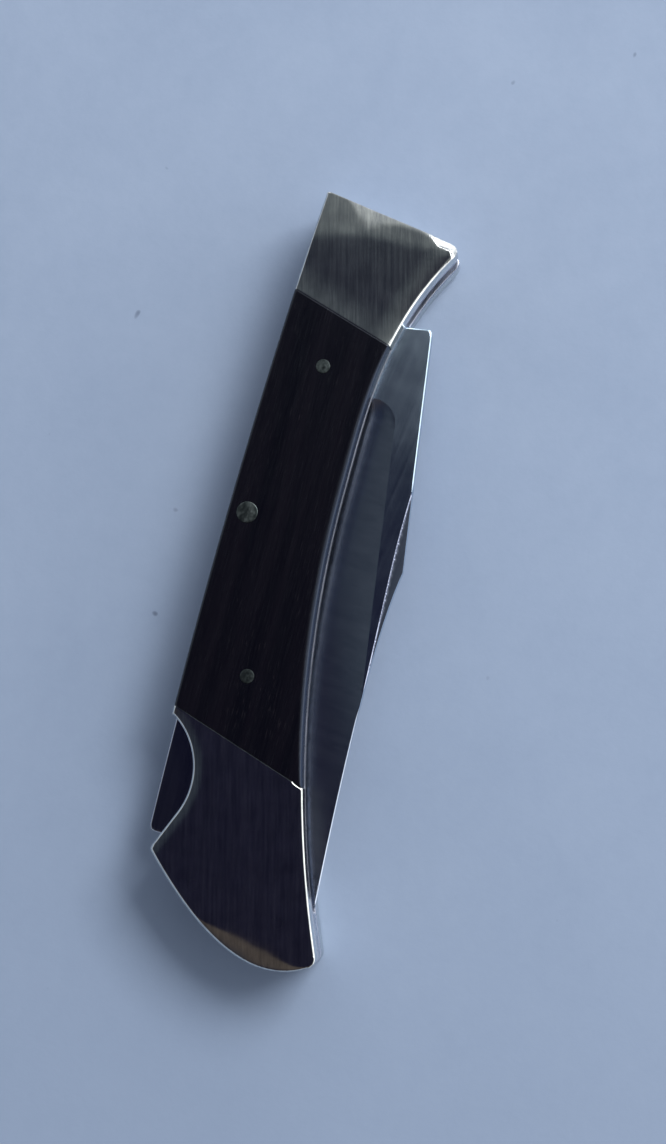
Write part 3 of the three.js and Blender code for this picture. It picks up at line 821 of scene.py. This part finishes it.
def bolster_drop(outline, points):
    """How far a bolster's face lies below the cover's level: its chamfers and its buffed ends."""
    x, y = points[:, 0], points[:, 1]
    cuts = []
    for name, track in outline.runs:
        gap, share = along_track(points, track)
        width, steepness = bolster_chamfer(name, track, points, share)
        cuts.append((width - gap) * steepness)
    at_facet = past(-y, *SOFT_DEPTH_STRETCH) * past(x, *SOFT_X_STRETCH)
    drop = ramp(np.max(cuts, axis=0), EDGE_SOFTNESS + FACET_SOFTNESS * at_facet)
    drop += BUFF_TILT * eased(x - BUFF_X + BUFF_CURVE * np.clip(y + 1, 0, None) ** 2, 1.0)
    levels, depths = zip(*WEDGE_EDGE)
    drop += WEDGE_TILT * eased(np.interp(y, levels, depths) - (front_edge_x(y) - x), 0.8)
    for track in outline.tracks("butt"):
        gap, share = along_track(points, track)
        reach = DIP_REACH * past(share, *DIP_WIDENING) - DIP_LOSS * past(share, *DIP_NARROWING)
        drop += DIP_DEPTH * reach * fading(gap / np.maximum(reach, 0.05))
    drop += NOTCH_ROLL_SLOPE * ramp(NOTCH_ROLL - outline.distance(points, "notch"), NOTCH_ROLL_SOFTNESS)
    for track in outline.tracks("belly"):
        depth, width = ROLL, REAR_ROLL_WIDTH
        if is_front(track):
            past_seam = seam_side(points, FRONT_SEAM_X)
            drop += FRONT_FALL * (1 - fading(past_seam / FRONT_FALL_RUN))
            depth = ROLL + FRONT_ROLL * (1 - fading(past_seam / FRONT_ROLL_RUN))
            width = FRONT_ROLL_WIDTH
        drop += depth * fading(distance(points, track)[0] / width)
    return drop


def rounding(gap, reach, fall):
    """A round edge: how far it falls, at a distance from its run."""
    share = np.clip(1 - gap / reach, 0, 0.999)
    return fall * (1 - np.sqrt(1 - share**2)) * np.minimum(1, reach / FULL_FALL_WIDTH)


def wood_drop(outline, points):
    """The wood's rounded edges: wider on the belly, in the middle of the grip."""
    drop = ramp(WOOD_SEAM_EDGE - outline.distance(points, "front_seam", "rear_seam"))
    width, fall = WOOD_SPINE_EDGE
    drop += rounding(outline.distance(points, "spine"), width, fall)
    least, further, fall = WOOD_BELLY_EDGE
    for track in outline.tracks("belly"):
        gap, share = along_track(points, track)
        reach = least + further * np.sqrt(np.sin(np.pi * np.clip(share, 0, 1)))
        drop += rounding(gap, reach, fall)
    return drop


# Each pin's place, its radius, the part of the handle that it comes through, and the chamfer of its ends
PINS = (
    ("pivot_pin", PIVOT_PIN, PIVOT_RADIUS, "front", 0.0),
    ("guard_rivet", GUARD_RIVET, BOLSTER_PIN_RADIUS, "front", 0.0),
    ("front_handle_pin", FRONT_PIN, HANDLE_PIN_RADIUS, "wood", 0.03),
    ("rocker_pin", ROCKER, ROCKER_RADIUS, "wood", 0.04),
    ("rear_handle_pin", REAR_PIN, HANDLE_PIN_RADIUS, "wood", 0.03),
    ("upper_bolster_pin", UPPER_PIN, BOLSTER_PIN_RADIUS, "rear", 0.0),
    ("lower_bolster_pin", LOWER_PIN, BOLSTER_PIN_RADIUS, "rear", 0.0),
    ("spring_pin", SPRING_PIN, SPRING_PIN_RADIUS, "inside", 0.0),
)


def pin_holes(*zones):
    """Holes for the pins that come through these parts of the handle."""
    return [circle(centre, radius + PIN_FIT) for _, centre, radius, zone, _ in PINS if zone in zones]


def flat_face(level):
    return lambda points: np.full(len(points), level)


def cover(node, is_right, runs, drop_of, material, slot, holes, offsets, step, extra=(), sharp=32):
    """One piece of a cover. Returns its outer face's level over points."""
    outline = Outline(runs)

    def face(points):
        drop = drop_of(outline, points)
        return THICKNESS - drop if is_right else drop

    top, bottom = (face, flat_face(RIGHT_COVER_FLOOR)) if is_right else (flat_face(COVER), face)
    dressed(
        node, "handle", slot, [material], outline, top, bottom, holes, offsets=offsets, extra=extra,
        step=step, sharp=sharp,
    )
    return face


BOLSTER_OFFSETS = (0.04, 0.1, 0.16, 0.22, 0.27, 0.32, 0.38, 0.45, 0.55, 0.68, 0.85, 1.0, 1.25, 1.6, 2.1, 2.8)
WOOD_OFFSETS = (0.03, 0.07, 0.13, 0.2, 0.28, 0.38, 0.5, 0.65, 0.8, 0.95, 1.15, 1.5)
FACET_POINTS = [(x, y) for x in np.arange(2.0, 7.0, 0.12) for y in np.arange(-11.6, -6.0, 0.12)]

faces = {}
for side, right in (("right", True), ("left", False)):
    faces[side, "front"] = cover(
        side + "_front_bolster", right, zone_runs(FRONT_SEAM_X, None), bolster_drop, NICKEL, "bolster",
        pin_holes("front"), BOLSTER_OFFSETS, 0.45, FACET_POINTS, 41,
    )
    faces[side, "wood"] = cover(
        side + "_wood_scale", right, zone_runs(REAR_SEAM_X, FRONT_SEAM_X, WOOD_SETBACK), wood_drop, WOOD,
        "scale", pin_holes("wood"), WOOD_OFFSETS, 2.0,
    )
    faces[side, "rear"] = cover(
        side + "_rear_bolster", right, zone_runs(None, REAR_SEAM_X), bolster_drop, NICKEL, "bolster",
        pin_holes("rear"), BOLSTER_OFFSETS, 0.9,
    )


# Liners, spacer and lock bar: flat plates with broken edges


def edged(outline, floor, roof, width, beside_wood=0.0):
    """Top and bottom of a flat plate whose edges have a small chamfer, or beside the wood a bevel."""

    def cut(points):
        drop = ramp(width - outline.distance(points, *outline.names))
        if beside_wood:
            along_wood = smooth(seam_side(points, REAR_SEAM_X) / 0.4)
            along_wood = along_wood * smooth(-seam_side(points, FRONT_SEAM_X) / 0.4)
            gap = outline.distance(points, "belly")
            bevel = LINER_STEEPNESS * ramp(beside_wood - gap, 0.03)
            drop += along_wood * (gap < 1.0) * (bevel - drop)
        return drop

    return lambda p: roof - cut(p), lambda p: floor + cut(p)


for side, floor, roof in (("right", CHANNEL_ROOF, RIGHT_COVER_FLOOR), ("left", COVER, CHANNEL_FLOOR)):
    outline = Outline(handle_runs())
    top, bottom = edged(outline, floor, roof, 0.07, LINER_BEVEL)
    holes = pin_holes("front", "wood", "rear", "inside")
    offsets = (0.035, 0.07, 0.11, 0.16, 0.21)
    dressed(side + "_liner", "handle", "liner", [NICKEL_BLUNT], outline, top, bottom, holes, offsets=offsets)


def lug_foot_at(x):
    """The height of the lug's round foot, over the tang's cam."""
    return np.sqrt(LUG_FOOT_RADIUS**2 - x**2)


def lock_bar():
    nose_x = front_edge_x(FRONT_TOP_Y) - NOSE_SETBACK
    nose_foot_x = front_edge_x(NOSE_UNDERSIDE) - NOSE_SETBACK
    top = graph(spine_at, np.linspace(nose_x, BAR_END_X, 700))
    end = line(top[-1], (BAR_END_X, BAR_UNDERSIDE))
    top, corner, end = rounded(top, end, BAR_END_ROUNDING)
    foot = graph(lug_foot_at, np.linspace(LUG_REAR_X, LUG_FRONT_X, 30))
    under = line(
        (BAR_END_X, BAR_UNDERSIDE), (LUG_REAR_X - 6, BAR_UNDERSIDE), (LUG_REAR_X - 4, NOSE_UNDERSIDE),
        (LUG_REAR_X, NOSE_UNDERSIDE), foot[0],
    )
    nose = line(foot[-1], (LUG_FRONT_X, NOSE_UNDERSIDE), (nose_foot_x, NOSE_UNDERSIDE), top[0])
    outline = Outline([
        ("top", top), ("corner", corner), ("end", end), ("under", under), ("foot", foot), ("nose", nose),
    ])
    high, low = edged(outline, CHANNEL_FLOOR + PART_GAP, CHANNEL_ROOF - PART_GAP, 0.14)
    holes = [circle(ROCKER, ROCKER_RADIUS + MOVING_FIT)]
    offsets = (0.05, 0.1, 0.14, 0.18, 0.25)
    dressed("lock_bar", "lock_bar", "spring_steel", [SPRING], outline, high, low, holes, offsets=offsets)


lock_bar()


# The curved front part of the cutting edge
EDGE_CURVE = bezier((EDGE_CURVE_START, BLADE_EDGE), (EDGE_CURVE_BEND, BLADE_EDGE), TIP)


def blade_edge_at(x):
    """The height of the blade's cutting edge, in the blade's own axes."""
    return np.interp(x, *EDGE_CURVE.T)


def rear_spacer():
    """The spacer: outside it follows the handle, and inside the closed blade, the arm and the spring."""
    wall_x = BAR_END_X - SPACER_WALL_SETBACK
    foot_x = turned(TIP, CLOSED)[0] - SPACER_FOOT_SETBACK
    ends = {"notch": wall_x, "beak": math.inf, "butt": math.inf, "heel": math.inf, "belly": foot_x}
    runs = [(name, points[points[:, 0] < ends[name]]) for name, points in handle_runs() if name in ends]
    xs = np.linspace(TIP[0], EDGE_CURVE_START, 40)[:-1]
    along_blade = turned(np.stack([xs, blade_edge_at(xs - 0.4) - SPACER_TO_EDGE], 1), CLOSED)
    arm_rear, arm_front = REAR_PIN[0] - ARM_HALF, REAR_PIN[0] + ARM_HALF
    inner = line(
        runs[-1][1][-1], *along_blade, (arm_rear, ARM_BOTTOM), (arm_front, ARM_BOTTOM), (arm_front, ARM_TOP),
        (SPRING_POCKET_FRONT, ARM_TOP), (SPRING_POCKET_FRONT, SPRING_POCKET_FLOOR),
        (SPRING_POCKET_REAR, SPRING_POCKET_FLOOR), (SPRING_POCKET_REAR, SPACER_LEDGE), (wall_x, SPACER_LEDGE),
        runs[0][1][0],
    )
    outline = Outline([*runs, ("inner", inner)])
    high, low = edged(outline, CHANNEL_FLOOR, CHANNEL_ROOF, 0.04)
    holes = [circle(REAR_PIN, HANDLE_PIN_RADIUS + PIN_FIT), *pin_holes("rear")]
    offsets = (0.04, 0.08)
    dressed("rear_spacer", "handle", "spacer", [NICKEL_BLUNT], outline, high, low, holes, offsets=offsets)


rear_spacer()


# Blade

CLIP_CURVE = bezier((CLIP_START, BLADE_SPINE), CLIP_BEND, TIP)
SWEDGE_FOOT_Y = BLADE_SPINE - SWEDGE_WIDTH


def blade_spine_at(x):
    """The height of the blade's back, in the blade's own axes."""
    return np.interp(x, *CLIP_CURVE.T)


SWEDGE_FALL = float((SWEDGE_FOOT_Y - blade_spine_at(SWEDGE_END)) / (SWEDGE_END - CLIP_START))
SWEDGE_BEND_X = (SWEDGE_START + CLIP_START) / 2
SWEDGE_CURVE = bezier(
    (SWEDGE_START, BLADE_SPINE),
    (SWEDGE_BEND_X, SWEDGE_FOOT_Y + SWEDGE_FALL * (CLIP_START - SWEDGE_BEND_X)),
    (CLIP_START, SWEDGE_FOOT_Y),
)


def swedge_line_at(x):
    """The height of the swedge's lower edge."""
    ahead = SWEDGE_FOOT_Y - SWEDGE_FALL * (x - CLIP_START)
    ahead = np.minimum(blade_spine_at(x), ahead)
    found = np.where(x <= CLIP_START, np.interp(x, *SWEDGE_CURVE.T), ahead)
    return np.where((x <= SWEDGE_START) | (x >= SWEDGE_END), blade_spine_at(x), found)


def plunge_x_at(y):
    """Where the hollow grind starts, at a height: straight up, then round a quarter circle."""
    rise = np.clip(y - (GRIND_TOP - PLUNGE_RUN), 0, PLUNGE_RUN)
    return RICASSO_END + PLUNGE_RUN - np.sqrt(PLUNGE_RUN**2 - rise**2)


def blade_outline():
    """The blade's outline, anticlockwise from the shoulder behind its back."""
    lug_foot = graph(lug_foot_at, np.linspace(LUG_FRONT_X, LUG_REAR_X, 12))
    floor = turned(lug_foot, -LOCK_DROP, ROCKER) - (0, LUG_CLEARANCE)
    floor[0][0] = LUG_FRONT_X + LUG_PLAY
    floor[-1][0] -= LUG_PLAY
    rear_angle = math.acos(floor[-1][0] / CAM_RADIUS)
    flat_angle = 2 * math.pi - math.acos(-CORNER_UNDER_TANG / CAM_RADIUS)
    kick_x, kick_y = turned(FRONT_PIN, -CLOSED) + (0, KICK_LIFT)
    spine_line = line(CLIP_CURVE[0], (SHOULDER_X, BLADE_SPINE))
    shoulder = line((SHOULDER_X, BLADE_SPINE), (SHOULDER_X, SHOULDER_FOOT))
    spine_line, corner, shoulder = rounded(spine_line, shoulder, SHOULDER_ROUNDING)
    cam = arc(PIVOT_PIN, CAM_RADIUS, rear_angle, flat_angle)
    notch = line((SHOULDER_X, SHOULDER_FOOT), (floor[0][0], SHOULDER_FOOT), *floor, cam[0])
    under = line(
        cam[-1], (CAM_RADIUS, BLADE_EDGE), (kick_x - KICK_FOOT_HALF, BLADE_EDGE),
        (kick_x - KICK_HALF, kick_y), (kick_x + KICK_HALF, kick_y), (kick_x + KICK_FOOT_HALF, BLADE_EDGE),
        (RICASSO_END, BLADE_EDGE),
    )
    straight = line((RICASSO_END, BLADE_EDGE), (EDGE_CURVE_START, BLADE_EDGE))
    edge = np.concatenate([straight, EDGE_CURVE[1:]])
    return Outline([
        ("shoulder", shoulder), ("notch", notch), ("cam", cam), ("under", under), ("edge", edge),
        ("clip", CLIP_CURVE[::-1]), ("spine", spine_line), ("corner", corner),
    ])


def blade_half(outline, points):
    """Half the blade's thickness: its hollow, its swedge, its sharpened edge and its broken edges."""
    x, y = points[:, 0], points[:, 1]
    share = np.clip((y - blade_edge_at(x)) / (GRIND_TOP - BLADE_EDGE), 0, 1)
    rim = BLADE_HALF - TIP_THINNING * past(x, *TIP_THINNING_STRETCH)
    power = HOLLOW_POWER + (TIP_HOLLOW_POWER - HOLLOW_POWER) * past(x, *TIP_HOLLOW_STRETCH)
    ground = GRIND_FOOT + (rim - GRIND_FOOT) * share**power
    into = 1 - fading((x - plunge_x_at(y)) / PLUNGE_EASE)
    thick = rim - (rim - ground) * np.where(y < GRIND_TOP, into, 0)
    above = np.clip(y - swedge_line_at(x), 0, None)
    on_swedge = np.where((x > SWEDGE_START) & (x < SWEDGE_END), above, 0)
    thick = thick - SWEDGE_SLOPE * on_swedge - SWEDGE_STEP * smooth(on_swedge / SWEDGE_STEP_RUN)
    from_edge = outline.distance(points, "edge")
    sharpened = (x > RICASSO_END + 0.8) & (from_edge <= EDGE_WIDTH)
    thick = np.where(sharpened, np.minimum(thick, EDGE_HALF + EDGE_SLOPE * from_edge), thick)
    beside_swedge = smooth((x - SWEDGE_START + 1.0) / 3.0) * (1 - smooth((x - SWEDGE_END) / 3.0))
    cuts = [
        BACK_CHAMFER - BACK_CHAMFER_LOSS * beside_swedge - outline.distance(points, "spine", "clip"),
        SHOULDER_CHAMFER - outline.distance(points, "shoulder", "corner"),
        TANG_CHAMFER - outline.distance(points, "notch", "cam", "under"),
    ]
    return np.maximum(EDGE_HALF, thick - ramp(np.max(cuts, axis=0)))


def blade_creases():
    """The swedge's lower edge, and the plunge with the top of the grind."""
    swedge = graph(swedge_line_at, np.linspace(SWEDGE_START + 0.4, SWEDGE_END - 0.4, 90))
    ys = np.linspace(BLADE_EDGE + 0.25, GRIND_TOP - PLUNGE_RUN, 14)[:-1]
    foot = np.stack([np.full(len(ys), RICASSO_END), ys], 1)
    bend = arc((RICASSO_END + PLUNGE_RUN, GRIND_TOP - PLUNGE_RUN), PLUNGE_RUN, math.pi, math.pi / 2, 24)
    xs = np.arange(RICASSO_END + PLUNGE_RUN + 0.5, TIP[0], 0.5)
    xs = xs[(swedge_line_at(xs) > GRIND_TOP + 0.15)]
    return swedge, np.concatenate([foot, bend, np.stack([xs, np.full(len(xs), GRIND_TOP)], 1)])


SWEDGE_RISES = (0.05, 0.1, 0.15, 0.21, 0.5, 0.9, 1.3)
HOLLOW_SHARES = (0.08, 0.14, 0.2, 0.27, 0.34, 0.42, 0.5, 0.58, 0.66, 0.74, 0.82, 0.9, 0.96)


def blade_points():
    """Points for the blade's faces, where they bend: the plunge, the swedge and the hollow."""
    xs, ys = np.arange(RICASSO_END + 0.15, RICASSO_END + 5, 0.2), np.arange(-3.1, 5.2, 0.35)
    points = [(x, y) for x in xs for y in ys]
    for x in np.arange(SWEDGE_START + 0.5, SWEDGE_END - 0.5, 0.45):
        points += [(x, float(swedge_line_at(x)) + rise) for rise in SWEDGE_RISES]
    for x in np.arange(RICASSO_END + 5, TIP[0] - 1, 0.9):
        foot = blade_edge_at(x)
        roof = min(blade_spine_at(x) - 0.2, GRIND_TOP)
        points += [(x, foot + (roof - foot) * share) for share in HOLLOW_SHARES]
    return points


BLADE_FINISHES = (STEEL, HOLLOW, SWEDGE)


def blade_finish(middle):
    """The number of the finish at a place on the blade."""
    x, y = middle
    if x > SWEDGE_START and y > swedge_line_at(x):
        return BLADE_FINISHES.index(SWEDGE)
    if y < GRIND_TOP and x > plunge_x_at(y):
        return BLADE_FINISHES.index(HOLLOW)
    return BLADE_FINISHES.index(STEEL)


def blade():
    outline = blade_outline()
    dressed(
        "blade", "blade", "blade", BLADE_FINISHES, outline, lambda p: MIDDLE + blade_half(outline, p),
        lambda p: MIDDLE - blade_half(outline, p), [circle(PIVOT_PIN, PIVOT_RADIUS + MOVING_FIT)],
        creases=blade_creases(), offsets=(0.05, 0.09, 0.13, 0.18, 0.25, 0.35, 0.42), extra=blade_points(),
        place=lambda p: turned(p, CLOSED), regions=blade_finish,
    )


blade()


# Pins and rivets


def pin(node, centre, radius, low_face, high_face, chamfer=0.0):
    """A round pin whose ends follow the faces around them, either polished flush or chamfered and domed."""
    outline = Outline([("rim", arc(centre, radius, 0, 2 * math.pi, 96))], coarse=0.12, fine=0.12)

    def lift(points):
        off = np.hypot(*(points - np.array(centre)).T)
        if not chamfer:
            return np.full(len(points), -FLUSH_DROP)
        return DOME * (1 - (off / radius) ** 2) - ramp(chamfer - (radius - off), 0.01) - FLUSH_DROP

    dressed(
        node, "handle", "pin", [PIN if chamfer else NICKEL], outline, lambda p: high_face(p) + lift(p),
        lambda p: low_face(p) - lift(p), offsets=(0.02, 0.05, 0.09, 0.15, 0.3, 0.5, 0.8),
    )


for node, centre, radius, zone, chamfer in PINS:
    if node == "guard_rivet":
        pin("right_" + node, centre, radius, flat_face(CHANNEL_ROOF), faces["right", zone])
        pin("left_" + node, centre, radius, faces["left", zone], flat_face(CHANNEL_FLOOR))
    elif zone != "inside":
        pin(node, centre, radius, faces["left", zone], faces["right", zone], chamfer)

# The leaf spring and its pin never show. They keep their CAD solids.
for node, material in (("lock_spring", SPRING), ("spring_pin", PIN)):
    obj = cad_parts[node]
    obj.data.materials.clear()
    obj.data.materials.append(material)


# Stage: pale blue-grey paper


def paper():
    """A sheet in a pale tone with soft clouds, fibres, painted shade that darkens its left end, and a few
    specks.
    """
    half = 1.5
    corners = [(-half, -half, 0), (half, -half, 0), (half, half, 0), (-half, half, 0)]
    mesh = bpy.data.meshes.new("paper")
    mesh.from_pydata(corners, [], [(0, 1, 2, 3)])
    obj = linked("paper", mesh)
    material, n, shader = new_material("paper")
    clouds = n.noise((38.0,) * 3, 3.0, 0.55)
    tooth = n.noise((900.0,) * 3, 3.0, 0.6)
    fibres = n.noise((330.0,) * 3, 4.0, 0.7)
    specks = n.noise((260.0,) * 3, 1.0, 0.4, 0.7)
    tone = n.math("ADD", n.times(clouds, 0.6), n.times(fibres, 0.4))
    colour = n.mix(n.span(tone, 0.34, 0.66), (0.300, 0.374, 0.506), (0.336, 0.413, 0.547))
    # Painted shade: the colour darkens towards -x, in place of the window light's falloff across the sheet.
    colour = n.mix(n.span(n.axis(n.place(), "X"), 0.0, -0.14, 0.0, 0.65), colour, (0.262, 0.331, 0.457))
    colour = n.mix(n.span(specks, 0.79, 0.82, 0.0, 0.6), colour, (0.07, 0.09, 0.14))
    n.feed(colour, shader["Base Color"])
    n.feed(0.9, shader["Roughness"])
    n.feed(0.1, shader["Specular IOR Level"])
    n.feed(n.bump(tooth, 0.25, 0.00008), shader["Normal"])
    obj.data.materials.append(material)


paper()


# Light: a soft room, paler low down, dark overhead where the camera hangs, and a window to the right

# A direction is given by its slopes, the run along x and y for each step up. Between two slopes on each side
# the room turns pale.
PALE_SIDES = (("X", 1.0, 0.18, 0.82), ("X", -1.0, 2.6, 6.0), ("Y", 1.0, 0.2, 2.2), ("Y", -1.0, 0.2, 1.3))
# A faint glow, ahead of the handle and on its belly side, starts nearer overhead.
GLOW = 0.15
GLOW_BELLY_SIDE = (-0.13, 0.08)
GLOW_AHEAD = (0.1, 0.17)
OVERHEAD = (0.008, 0.008, 0.026)
PALEST = (0.66, 0.70, 0.80)
BETWEEN = (
    (0.04, (0.042, 0.054, 0.074)), (0.2, (0.13, 0.15, 0.165)), (0.3, (0.19, 0.21, 0.225)),
    (0.5, (0.42, 0.445, 0.45)), (0.6, (0.55, 0.575, 0.58)),
)
# Something brown behind the butt
BROWN = (0.095, 0.076, 0.068)
BROWN_STARTS = (0.2, 0.28)
BROWN_ENDS = (0.9, 0.65)
BROWN_SIDE = (0.36, 0.22)
# A bright pane low down, ahead of the handle on its belly side
PANE = (2.4, 2.4, 2.4)
PANE_WAY = (0.75, -0.66, 0.0)
PANE_EDGE = (0.25, 0.45)
PANE_TOP = (0.5, 0.3)
LOWEST = 0.02


def room():
    world = bpy.data.worlds.new("room")
    bpy.context.scene.world = world
    world.use_nodes = True
    n = Nodes(world.node_tree)
    way = n.add("TexCoord").outputs["Generated"]
    height = n.axis(way, "Z")
    slope = {name: n.math("DIVIDE", n.axis(way, name), n.math("MAXIMUM", height, LOWEST)) for name in "XY"}

    def rise(value, start, end):
        """From 0 to 1 as a value goes from start to end, up or down."""
        return n.span(value, start, end, kind="SMOOTHSTEP")

    pale = 0.0
    for name, sign, low, high in PALE_SIDES:
        pale = n.math("MAXIMUM", pale, rise(n.times(slope[name], sign), low, high))
    belly_side = rise(n.times(slope["Y"], -1.0), *GLOW_BELLY_SIDE)
    glow = n.times(n.times(belly_side, rise(slope["X"], *GLOW_AHEAD)), GLOW)
    tones = n.add("ValToRGB", Fac=n.math("MAXIMUM", pale, glow))
    stops = tones.color_ramp.elements
    stops[0].position, stops[0].color = 0.0, (*OVERHEAD, 1)
    stops[1].position, stops[1].color = 1.0, (*PALEST, 1)
    for position, colour in BETWEEN:
        stops.new(position).color = (*colour, 1)
    behind = n.times(slope["X"], -1.0)
    brown = n.times(rise(behind, *BROWN_STARTS), rise(behind, *BROWN_ENDS))
    brown = n.times(brown, rise(slope["Y"], *BROWN_SIDE))
    colour = n.mix(brown, tones.outputs["Color"], BROWN)
    facing = n.add("VectorMath", {"operation": "DOT_PRODUCT"}, i0=way, i1=PANE_WAY).outputs["Value"]
    pane = n.times(rise(facing, *PANE_EDGE), rise(height, *PANE_TOP))
    background = world.node_tree.nodes["Background"].inputs
    n.feed(n.mix(pane, colour, PANE), background["Color"])
    n.feed(1.0, background["Strength"])


room()

WINDOW_PLACE = (0.60, -0.46, 0.82)
WINDOW_TARGET = (-0.04, 0.0, 0.0)
WINDOW_SIZE = (0.6, 0.5)
WINDOW_WATTS = 11.0


def window_lamp():
    """A soft lamp that casts the knife's shadow."""
    data = bpy.data.lights.new("window", "AREA")
    data.shape = "RECTANGLE"
    data.size, data.size_y = WINDOW_SIZE
    data.energy = WINDOW_WATTS
    obj = linked("window", data)
    obj.location = WINDOW_PLACE
    way = Vector(WINDOW_TARGET) - Vector(WINDOW_PLACE)
    obj.rotation_euler = way.to_track_quat("-Z", "Y").to_euler()


window_lamp()


# Camera, as the photograph was taken

LENS_PIXELS = 2032
LONG_SIDE_PIXELS = 1144
SENSOR = 36.0
CAMERA_PLACE = (-0.062074, -0.040730, 0.290)
CAMERA_RIGHT = (0.26080, -0.95985, -0.10330)
CAMERA_FORWARD = (0.06423, 0.12402, -0.99020)


def add_camera():
    data = bpy.data.cameras.new("camera")
    data.sensor_width = SENSOR
    data.lens = LENS_PIXELS * SENSOR / LONG_SIDE_PIXELS
    data.clip_start, data.clip_end = 0.01, 10
    camera = linked("camera", data)
    right = Vector(CAMERA_RIGHT).normalized()
    forward = Vector(CAMERA_FORWARD).normalized()
    up = right.cross(forward)
    turn = Matrix([(right[i], up[i], -forward[i]) for i in range(3)])
    camera.matrix_world = Matrix.Translation(CAMERA_PLACE) @ turn.to_4x4()
    bpy.context.scene.camera = camera


add_camera()

bpy.context.scene.view_settings.view_transform = "Standard"
